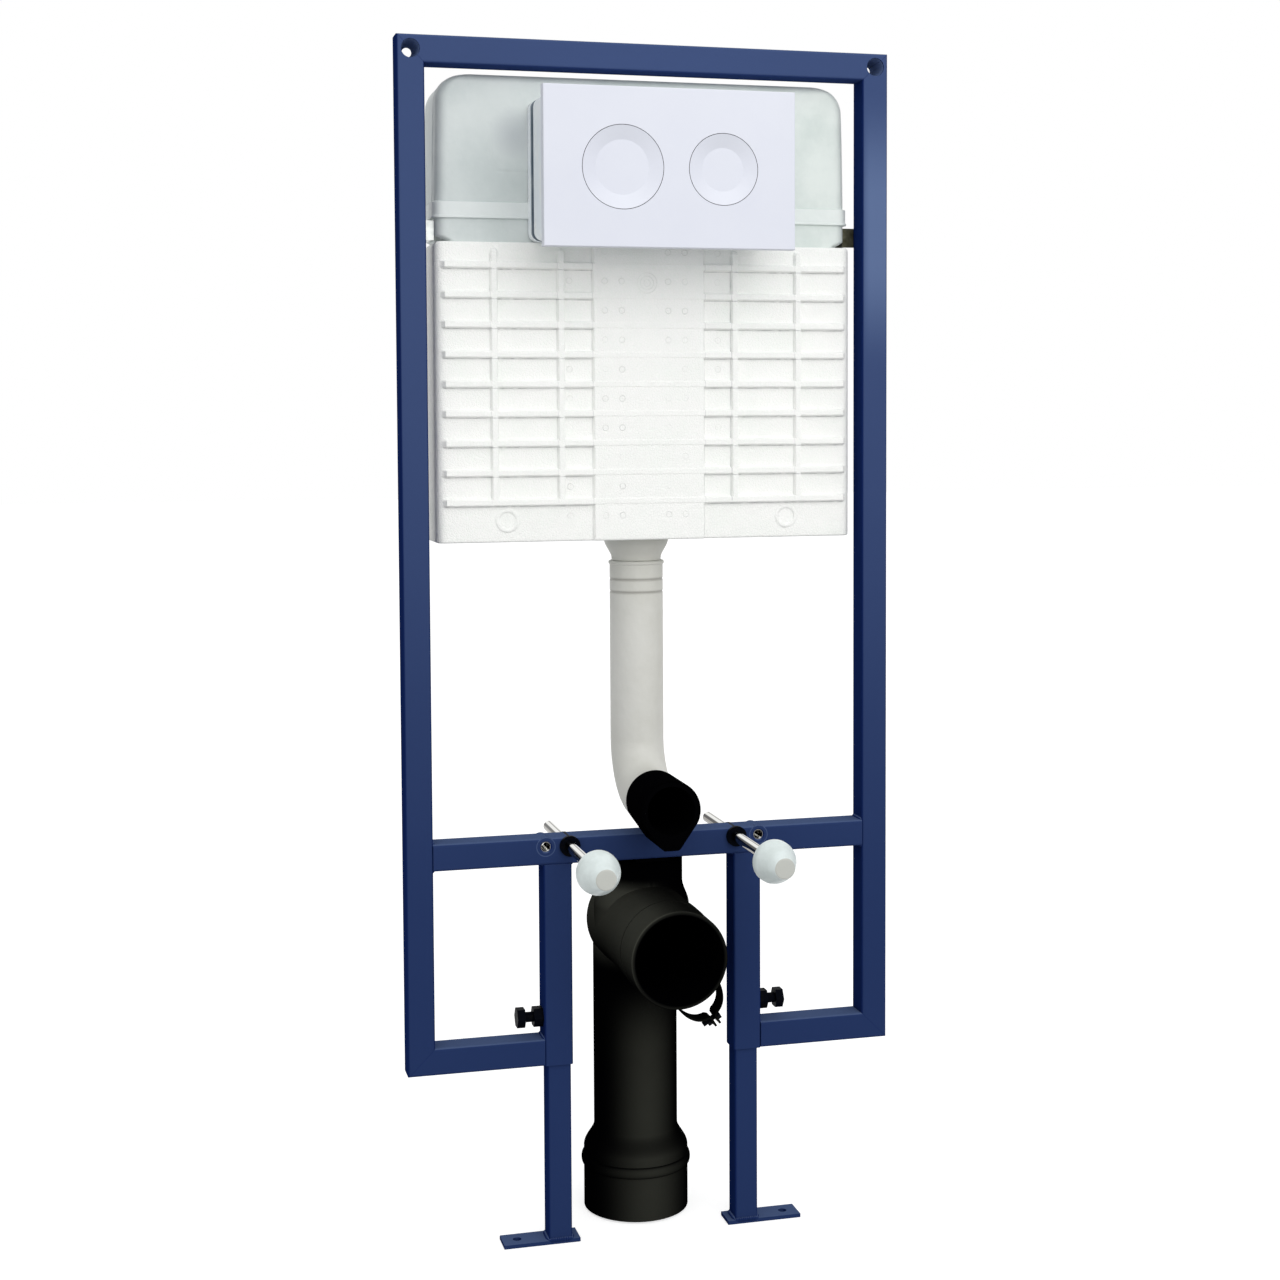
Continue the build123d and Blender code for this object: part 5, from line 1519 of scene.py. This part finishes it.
@dataclass
class WasteLine:
    """The waste bend, which runs back from its mouth and turns down, its capped stub and the floor socket."""

    axis_height: float = -0.911
    mouth: float = -0.1305
    barrel_radius: float = 0.05
    pipe_y: float = 0.0535
    pipe_radius: float = 0.0455
    pipe_bottom: float = -1.165
    dome: float = 0.0525
    widening: float = 0.05
    wall: float = 0.004
    rim: float = 0.0012
    stub_y: float = 0.023
    stub_radius: float = 0.044
    stub_top: float = -0.834
    stub_edge: float = 0.003
    flare_from: float = -0.862
    flare_to: float = -0.888
    flare: float = 0.007
    seat: float = 0.001
    floor: float = -1.228
    socket_radius: float = 0.05675
    socket_bore: float = 0.0525
    seat_height: float = -1.167
    neck_height: float = -1.137
    shoulder_height: float = -1.162
    bead_radius: float = 0.0595
    bead_height: float = -1.175
    bead: float = 0.006
    neck_gap: float = 0.0001
    sides: int = 96

    def build(self, shop: Workshop) -> None:
        """Makes the bend with its stub, and the socket."""
        bend = Skin()
        self._bend(bend)
        self._stub(bend)
        made = bend.piece("smooth_waste_bend", shop.material(Finish.waste_plastic), "frame", 50.0)
        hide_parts("waste_bend")
        socket = Skin()
        socket.turned(self._socket_profile(), (0.0, self.pipe_y, 0.0), (0.0, 0.0, 1.0), self.sides)
        made = socket.piece("waste_floor_socket", shop.material(Finish.waste_plastic), "frame")
        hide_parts("waste_socket")

    def _bend(self, skin: Skin) -> None:
        """Adds the hollow barrel with its domed rear, and the pipe that runs down from it.

        The barrel widens softly to the dome, half an ellipsoid that is as deep as the pipe's radius.
        """
        turn = np.linspace(0.0, np.pi / 2, 24)
        back = stations((self.mouth + self.rim, self.pipe_y, 40))
        lip = np.linspace(1.0, 0.0, 6)[:-1]
        shell = np.concatenate([
            stacked(self.barrel_radius - self.rim * arc_drop(lip), self.mouth + self.rim * (1.0 - lip)),
            stacked(self._barrel(back), back),
            stacked(self.dome * np.cos(turn), self.pipe_y + self.pipe_radius * np.sin(turn))[1:],
        ])
        bore = stacked(self._barrel(back) - self.wall, back)
        bore[0, 1] = self.mouth
        inner_dome = stacked((self.dome - self.wall) * np.cos(turn),
                             self.pipe_y + (self.pipe_radius - self.wall) * np.sin(turn))
        inner = np.concatenate([bore, inner_dome[1:]])
        profile = np.concatenate([inner[::-1], shell])
        skin.turned(profile, (0.0, 0.0, self.axis_height), (0.0, 1.0, 0.0), self.sides)
        # The bore carries the mark, so that no painted sheen is put inside it and it stays dark.
        skin.marks[-1] = np.repeat(np.repeat((1.0, 0.0), (len(inner), len(shell))), self.sides)
        angle = full_turn(self.sides)[None]
        share = np.linspace(0.0, 1.0, 40)[:, None]
        rings = []
        for radius, down in ((self.pipe_radius, share), (self.pipe_radius - self.wall, share[::-1])):
            x = radius * np.cos(angle)
            y = self.pipe_y + radius * np.sin(angle)
            top = self._underside(x, y)
            rings.append(stacked(x, y, top + (self.pipe_bottom - top) * down))
        skin.grid(np.concatenate([*rings, rings[0][:1]]), around=True)

    def _barrel(self, y: np.ndarray) -> np.ndarray:
        """Returns the barrel's radius at a depth: level, then softly wider up to the dome."""
        return self.barrel_radius + (self.dome - self.barrel_radius) * soft_step(
            (y - self.pipe_y + self.widening) / self.widening)

    def _underside(self, x: np.ndarray, y: np.ndarray) -> np.ndarray:
        """Returns the height of the barrel's and dome's underside, a little inside: the ellipsoid's lower half."""
        deep = np.maximum(y - self.pipe_y, 0.0) / self.pipe_radius
        reach = self.barrel_radius - self.seat
        return self.axis_height - reach * np.sqrt(np.clip(1.0 - (x / reach) ** 2 - deep ** 2, 0.0, 1.0))

    def _stub(self, skin: Skin) -> None:
        """Adds the capped stub, which flares into the barrel and ends on it.

        Its foot lies on the barrel, a little under the surface: the axis's height plus the root of the
        squared radius less the squared distance to the side.
        """
        angle = full_turn(self.sides)[None]
        height = np.concatenate([np.linspace(self.stub_top - self.stub_edge, self.flare_from, 4),
                                 np.linspace(self.flare_from, self.axis_height, 24)[1:]])[:, None]
        widening = self.flare * soft_step((self.flare_from - height) / (self.flare_from - self.flare_to))

        def rings(radius: np.ndarray, top: Union[np.ndarray, float]) -> np.ndarray:
            """Places circles about the stub's axis, with their radii and heights."""
            return stacked(radius * np.cos(angle), self.stub_y + radius * np.sin(angle), top)

        radius = self.stub_radius + widening
        wall = rings(radius, np.maximum(height, self._saddle(radius * np.cos(angle))))
        bend = np.linspace(0.0, np.pi / 2, 6)[:, None]
        edge = rings(self.stub_radius - self.stub_edge * (1.0 - np.sin(bend)),
                     self.stub_top - self.stub_edge * (1.0 - np.cos(bend)))
        share = np.linspace(1.0, 0.0, 10)[:, None]
        lid = rings((self.stub_radius - self.stub_edge) * share, self.stub_top)
        reach = (self.stub_radius + self.flare) * share
        sole = rings(reach, self._saddle(reach * np.cos(angle)))
        skin.grid(np.concatenate([lid[::-1], edge[1:], wall[1:], sole[1:]]), around=True)

    def _saddle(self, x: np.ndarray) -> np.ndarray:
        """Returns the height of the barrel's top at a distance to the side, a little under its surface."""
        reach = self.barrel_radius - self.seat
        return self.axis_height + np.sqrt(np.clip(reach ** 2 - x ** 2, 0.0, None))

    def _socket_profile(self) -> np.ndarray:
        """Returns the socket's closed profile: neck, sloped shoulder, seal bead, skirt and bore."""
        turn = np.linspace(np.pi / 2, -np.pi / 2, 16)
        bulge = self.bead_radius - self.socket_radius
        bead = stacked(self.socket_radius + bulge * np.cos(turn), self.bead_height + self.bead * np.sin(turn))
        neck = self.pipe_radius + self.neck_gap
        drop = np.linspace(0.0, 1.0, 24)
        shoulder = stacked(neck + (self.socket_radius - neck) * soft_step(drop),
                             self.neck_height + (self.shoulder_height - self.neck_height) * drop)
        upper = np.concatenate([[(neck, self.seat_height)], shoulder,
                                [(self.socket_radius, self.bead_height + self.bead)]])
        lower = rounded_profile([
            (self.socket_radius, self.bead_height - self.bead, 0.0), (self.socket_radius, self.floor, 0.001),
            (self.socket_bore, self.floor, 0.001), (self.socket_bore, self.seat_height, 0.0),
            (neck, self.seat_height, 0.0),
        ])
        return np.concatenate([upper, bead[1:-1], lower])


@dataclass
class StudCaps:
    """The two plastic caps on the pan studs: round drums that narrow to a flat front."""

    x: float = 0.09
    height: float = -0.81
    rear: float = -0.155
    front: float = -0.193
    radius: float = 0.022
    front_radius: float = 0.01025
    drum: float = 0.008
    bore: float = 0.0061
    bore_depth: float = 0.0181

    def build(self, shop: Workshop) -> None:
        """Makes both caps and hides the plain ones."""
        profile = rounded_profile([
            (0.0, self.rear - self.bore_depth, 0.0), (self.bore, self.rear - self.bore_depth, 0.0),
            (self.bore, self.rear, 0.0006), (self.radius, self.rear, 0.0016),
            (self.radius, self.rear - self.drum, 0.0042), (self.front_radius, self.front, 0.0018),
            (0.0, self.front, 0.0),
        ], steps=9)
        for side, name in ((-1.0, "left"), (1.0, "right")):
            skin = Skin()
            skin.turned(profile, (side * self.x, 0.0, self.height), (0.0, 1.0, 0.0), 96)
            cap = skin.piece(f"{name}_round_cap", shop.material(Finish.cap_plastic), "frame")
            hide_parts(f"{name}_stud_cap")


@dataclass
class StrapLoop:
    """The thin strap round the waste bend's barrel, whose loop stands off below it and ends in two ears.

    The strip follows one path in the plane across the barrel, from one ear down an arm, round the barrel
    and back, with its width along y.
    """

    axis_height: float = -0.911
    middle_y: float = -0.075
    width: float = 0.02
    thickness: float = 0.0022
    band: float = 0.0006
    radius: float = 0.0502
    lean: float = -57.0
    foot_angle: float = 29.0
    throat: float = 0.087
    tip: float = 0.0985
    gap: float = 0.0026
    ear_lap: float = 0.002
    arm_out: Span = (0.086, 0.021)
    arm_in: Span = (0.064, 0.027)
    bolt_at: float = 0.0925
    bolt_reach: float = 0.0125
    bolt_radius: float = 0.0028
    head_radius: float = 0.0055
    head: float = 0.0042
    bolt_sides: int = 36
    shank_slack: float = 0.0002

    def build(self, shop: Workshop) -> None:
        """Makes the strap and its bolt and hides the plain ones."""
        half = self._half_path()
        path = np.concatenate([half, half[::-1][1:] * (1.0, -1.0)])
        ahead = np.gradient(path, axis=0)
        ahead /= np.linalg.norm(ahead, axis=1, keepdims=True)
        off = soft_step((np.linalg.norm(path, axis=1) - self.radius) / self.thickness)[:, None]
        thick = self.band + (self.thickness - self.band) * off
        side = stacked(-ahead[:, 1], ahead[:, 0]) * thick / 2
        corners = [(path + side, -1.0), (path + side, 1.0), (path - side, 1.0), (path - side, -1.0)]
        strip = np.stack([self._placed(points, end * self.width / 2) for points, end in corners], axis=1)
        skin = Skin()
        skin.grid(strip, around=True)
        for end in (strip[0], strip[-1]):
            skin.grid(np.stack([end[:2], end[[3, 2]]]))
        strap = skin.piece("looped_strap", shop.material(Finish.waste_plastic), "frame")
        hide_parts("bend_strap")
        self._bolt(shop)

    def _half_path(self) -> np.ndarray:
        """Returns half of the path: an ear, a cubic curve down the arm and an arc over half the barrel."""
        foot = math.radians(self.foot_angle)
        ear = np.array([(self.tip, self.gap), (self.throat + self.ear_lap, self.gap)])
        share = np.linspace(0.0, 1.0, 24)[1:, None]
        ends = [np.array(p) for p in ((self.throat, self.gap), self.arm_out, self.arm_in,
                                      (self.radius * math.cos(foot), self.radius * math.sin(foot)))]
        arm = ((1 - share) ** 3 * ends[0] + 3 * (1 - share) ** 2 * share * ends[1]
               + 3 * (1 - share) * share ** 2 * ends[2] + share ** 3 * ends[3])
        angle = np.linspace(foot, np.pi, 48)[1:]
        arc = self.radius * stacked(np.cos(angle), np.sin(angle))
        return np.concatenate([ear, arm, arc])

    def _placed(self, points: np.ndarray, along: float) -> np.ndarray:
        """Places points of the strap's plane, whose first axis runs out through the ears."""
        lean = math.radians(self.lean)
        x = points[:, 0] * math.cos(lean) - points[:, 1] * math.sin(lean)
        z = points[:, 0] * math.sin(lean) + points[:, 1] * math.cos(lean) + self.axis_height
        return stacked(x, self.middle_y + along, z)

    def _bolt(self, shop: Workshop) -> None:
        """Makes the bolt through the ears, with a head, a nut and a bare end."""
        lean = math.radians(self.lean)
        centre = self._placed(np.array([(self.bolt_at, 0.0)]), 0.0)[0]
        axis = (-math.sin(lean), 0.0, math.cos(lean))
        seat = self.gap + self.thickness / 2
        profile = rounded_profile([
            (0.0, -self.bolt_reach, 0.0), (self.bolt_radius, -self.bolt_reach, 0.0005),
            (self.bolt_radius, -seat - self.head, 0.0), (self.head_radius, -seat - self.head, 0.0004),
            (self.head_radius, -seat, 0.0), (self.bolt_radius, -seat, 0.0), (self.bolt_radius, seat, 0.0),
            (self.head_radius, seat, 0.0), (self.head_radius, seat + self.head, 0.0005),
            (0.0, seat + self.head, 0.0),
        ])
        skin = Skin()
        skin.turned(profile, tuple(centre), axis, self.bolt_sides, swell=self._hexed(profile))
        bolt = skin.piece("strap_bolt_and_nut", shop.material(Finish.black_steel), "frame", 25.0)
        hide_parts("bend_strap_bolt")

    def _hexed(self, profile: np.ndarray) -> np.ndarray:
        """Returns the bolt's radii: flat on six sides where it is wide, round on the shank."""
        angle = full_turn(self.bolt_sides)
        flat = math.cos(math.pi / 6) / np.cos((angle % (np.pi / 3)) - np.pi / 6)
        wide = profile[:, :1] > self.bolt_radius + self.shank_slack
        return profile[:, :1] * np.where(wide, flat[None], 1.0)


@dataclass
class Trim:
    """Weld beads of the frame and legs, the threads of the spare bushes and the lined wall holes."""

    bead: float = 0.0024
    side_bead: float = 0.00192
    sunk: float = 0.0009
    run_in: float = 0.002
    foot_run: float = 0.001
    thread_x: float = 0.115
    thread_z: float = -0.81
    thread_radius: float = 0.0052
    thread_root: float = 0.0043
    thread_pitch: float = 0.0015
    thread_ends: Span = (0.0013, 0.0005)
    thread_share: float = 0.8
    sides: int = 48
    hole_x: float = 0.246
    hole_front: float = 0.0093
    hole_rear: float = 0.0051
    hole_inset: float = 0.0012
    hole_wall: float = 0.0004

    def build(self, shop: Workshop) -> None:
        """Makes every trim piece."""
        self._welds(shop)
        self._threads(shop)
        self._wall_holes(shop)

    def _welds(self, shop: Workshop) -> None:
        """Lays beads under the crossbar, at its ends, over the leg sleeves' feet and on the foot plates."""
        paint = shop.material(Finish.blue_frame_paint)
        beads = Skin()
        for name in ("left_leg_sleeve", "right_leg_sleeve"):
            low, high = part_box(name)
            top, front, rear = high[2], low[1] + self.sunk, high[1] - self.sunk
            beads.bead((low[0], front + self.bead, top), (high[0], front + self.bead, top), self.bead)
            for x in (low[0], high[0]):
                self._ahead_bead(beads, x, top, front, rear)
        for name in ("left_bottom_rail", "right_bottom_rail"):
            low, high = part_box(name)
            x = high[0] if name.startswith("left") else low[0]
            self._ahead_bead(beads, x, high[2], low[1], high[1])
        low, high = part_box("crossbar")
        for x in (low[0], high[0]):
            for z in (low[2], high[2]):
                self._ahead_bead(beads, x, z, low[1], high[1])
        beads.piece("frame_weld_beads", paint, "frame")
        for side in ("left", "right"):
            low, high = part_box(f"{side}_leg_tube")
            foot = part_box(f"{side}_foot_plate")[1][2]
            skin = Skin()
            for y in (low[1], high[1]):
                skin.bead((low[0] - self.foot_run, y, foot), (high[0] + self.foot_run, y, foot), self.bead)
            for x in (low[0], high[0]):
                skin.bead((x, low[1] + self.foot_run, foot), (x, high[1] - self.foot_run, foot), self.bead)
            skin.piece(f"{side}_foot_weld_bead", paint, f"{side}_leg")

    def _ahead_bead(self, skin: Skin, x: float, z: float, front: float, rear: float) -> None:
        """Lays a thinner bead from front to rear, a little short of both."""
        skin.bead((x, front + self.run_in, z), (x, rear - self.run_in, z), self.side_bead)

    def _threads(self, shop: Workshop) -> None:
        """Cuts the thread of each spare bush: the radius rises and falls along the bore, once a pitch."""
        for side in ("left", "right"):
            low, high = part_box(f"{side}_spare_bush")
            sign = -1.0 if side == "left" else 1.0
            along = np.linspace(low[1] + self.thread_ends[0], high[1] - self.thread_ends[1], 160)
            depth = (self.thread_radius - self.thread_root) * self.thread_share
            wave = np.abs((along / self.thread_pitch) % 1.0 - 0.5) * 2.0
            inner = stacked(self.thread_root + depth * wave, along)
            outer = np.array([(self.thread_radius, along[-1]), (self.thread_radius, along[0]), tuple(inner[0])])
            skin = Skin()
            skin.turned(np.concatenate([inner, outer]), (sign * self.thread_x, 0.0, self.thread_z), (0.0, 1.0, 0.0),
                        self.sides)
            # The chrome finish paints reflection streaks on the thread.
            skin.piece(f"{side}_spare_thread", shop.material(Finish.stud_chrome), "frame", 20.0)

    def _wall_holes(self, shop: Workshop) -> None:
        """Lines each wall fixing hole with a funnel from the wide front hole to the small rear one."""
        low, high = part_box("top_rail")
        front, rear = low[1] + self.hole_inset, high[1] - self.hole_inset
        profile = np.array([
            (self.hole_front, front), (self.hole_rear, rear), (self.hole_rear + 0.0005, rear),
            (self.hole_front + 0.0001, front + self.hole_wall), (self.hole_front, front),
        ])
        for name, x in (("left", -self.hole_x), ("right", self.hole_x)):
            skin = Skin()
            skin.turned(profile, (x, 0.0, 0.0), (0.0, 1.0, 0.0), self.sides)
            # The funnel carries the mark, so the paint puts its painted highlight colour on it, without side shade.
            skin.marks[-1] = np.ones(len(profile) * self.sides)
            skin.piece(f"{name}_wall_hole_funnel", shop.material(Finish.blue_frame_paint), "frame")


@dataclass
class Studio:
    """Floor, backdrop light, lamps and the camera."""

    floor_height: float = -1.23
    floor_side: float = 40.0
    camera_place: Point = (-0.5289, -2.0265, -0.3709)
    camera_yaw: float = 14.487
    camera_pitch: float = -3.202
    camera_roll: float = -0.299
    focal_pixels: float = 1994.0
    picture_side: float = 1280.0
    centre_height: float = 532.0
    sensor: float = 36.0
    ambient: float = 0.54
    front_light: float = 0.64
    top_light: float = 0.25
    floor_colour: float = 0.6
    floor_glow: float = 0.66
    key_place: Point = (0.3, -1.75, 0.5)
    key_side: float = 1.3
    key_power: float = 10.2
    key_aim: Point = (0.0, 0.0, -0.5)
    far: float = 100.0

    def build(self) -> None:
        """Makes everything that isn't part of the object."""
        self._camera()
        self._world()
        self._floor()
        self._lamp()
        LOG.info("studio set")

    def _camera(self) -> None:
        """Sets the camera as fitted to the frame's corners in the photograph."""
        yaw, pitch, roll = (math.radians(a) for a in (self.camera_yaw, self.camera_pitch, self.camera_roll))
        ahead = Vector((math.sin(yaw) * math.cos(pitch), math.cos(yaw) * math.cos(pitch), math.sin(pitch)))
        level = Vector((math.cos(yaw), -math.sin(yaw), 0.0))
        above = level.cross(ahead)
        right = math.cos(roll) * level + math.sin(roll) * above
        upward = -math.sin(roll) * level + math.cos(roll) * above
        data = bpy.data.cameras.new("camera")
        data.sensor_width = self.sensor
        data.lens = self.focal_pixels * self.sensor / self.picture_side
        data.shift_y = (self.centre_height - self.picture_side / 2) / self.picture_side
        data.clip_end = self.far
        camera = bpy.data.objects.new("camera", data)
        turn = Matrix((right, upward, -ahead)).transposed().to_4x4()
        camera.matrix_world = Matrix.Translation(self.camera_place) @ turn
        bpy.context.scene.collection.objects.link(camera)
        bpy.context.scene.camera = camera

    def _world(self) -> None:
        """Lights the room softly from the front and above, and shows it white to the eye and in reflections.

        The strength that lights the object is a level all round, plus a share that grows towards the front
        and one that grows towards the ceiling.
        """
        world = bpy.data.worlds.new("room")
        world.use_nodes = True
        tree = world.node_tree
        tree.nodes.clear()
        shader = Shader("room", tree)
        seen = shader.node("ShaderNodeLightPath", out="Is Camera Ray").maximum(
            shader.node("ShaderNodeLightPath", out="Is Glossy Ray")).maximum(
            shader.node("ShaderNodeLightPath", out="Is Transmission Ray"))
        _, depth, height = shader.axes("Generated")
        light = (0.0 - depth).maximum(0.0) * self.front_light + height.maximum(0.0) * self.top_light + self.ambient
        strength = seen + (1.0 - seen) * light
        background = shader.node("ShaderNodeBackground", None, {"Color": (1.0, 1.0, 1.0), "Strength": strength})
        output = tree.nodes.new("ShaderNodeOutputWorld")
        tree.links.new(background.socket, output.inputs["Surface"])
        bpy.context.scene.world = world

    def _floor(self) -> None:
        """Lays a pale floor that looks as white as the room and keeps the object's shadow."""
        half = self.floor_side / 2
        corners = [(-half, -half), (half, -half), (half, half), (-half, half)]
        mesh = bpy.data.meshes.new("floor")
        mesh.from_pydata([(x, y, self.floor_height) for x, y in corners], [], [(0, 1, 2, 3)])
        floor = bpy.data.objects.new("floor", mesh)
        bpy.context.scene.collection.objects.link(floor)
        pale = Shader("pale_floor")
        seen = pale.node("ShaderNodeLightPath", out="Is Camera Ray").maximum(
            pale.node("ShaderNodeLightPath", out="Is Glossy Ray"))
        matt = pale.node("ShaderNodeBsdfDiffuse", None, {"Color": (self.floor_colour,) * 3})
        glow = pale.node("ShaderNodeEmission", None, {"Color": (1.0, 1.0, 1.0), "Strength": seen * self.floor_glow})
        mesh.materials.append(pale.finish(pale.node("ShaderNodeAddShader", None, {0: matt, 1: glow})))

    def _lamp(self) -> None:
        """Hangs one large soft square lamp in front of the object, a little to the right, aimed at its middle."""
        data = bpy.data.lights.new("key", "AREA")
        data.size = self.key_side
        data.energy = self.key_power
        lamp = bpy.data.objects.new("key", data)
        aim = Vector(self.key_aim) - Vector(self.key_place)
        lamp.matrix_world = Matrix.Translation(self.key_place) @ aim.to_track_quat("-Z", "Y").to_matrix().to_4x4()
        bpy.context.scene.collection.objects.link(lamp)


def main() -> None:
    """Builds the looks in order."""
    logging.basicConfig(level=logging.INFO, format="%(name)s: %(message)s")
    bpy.context.scene.view_settings.view_transform = "Standard"
    workshop = Workshop()
    workshop.dress_nodes()
    for assembly in (FoamCover, CisternTank, AdaptorBox, FlushLine, WasteLine, StrapLoop, StudCaps, Trim):
        assembly().build(workshop)
    Studio().build()


if __name__ == "__main__":
    main()
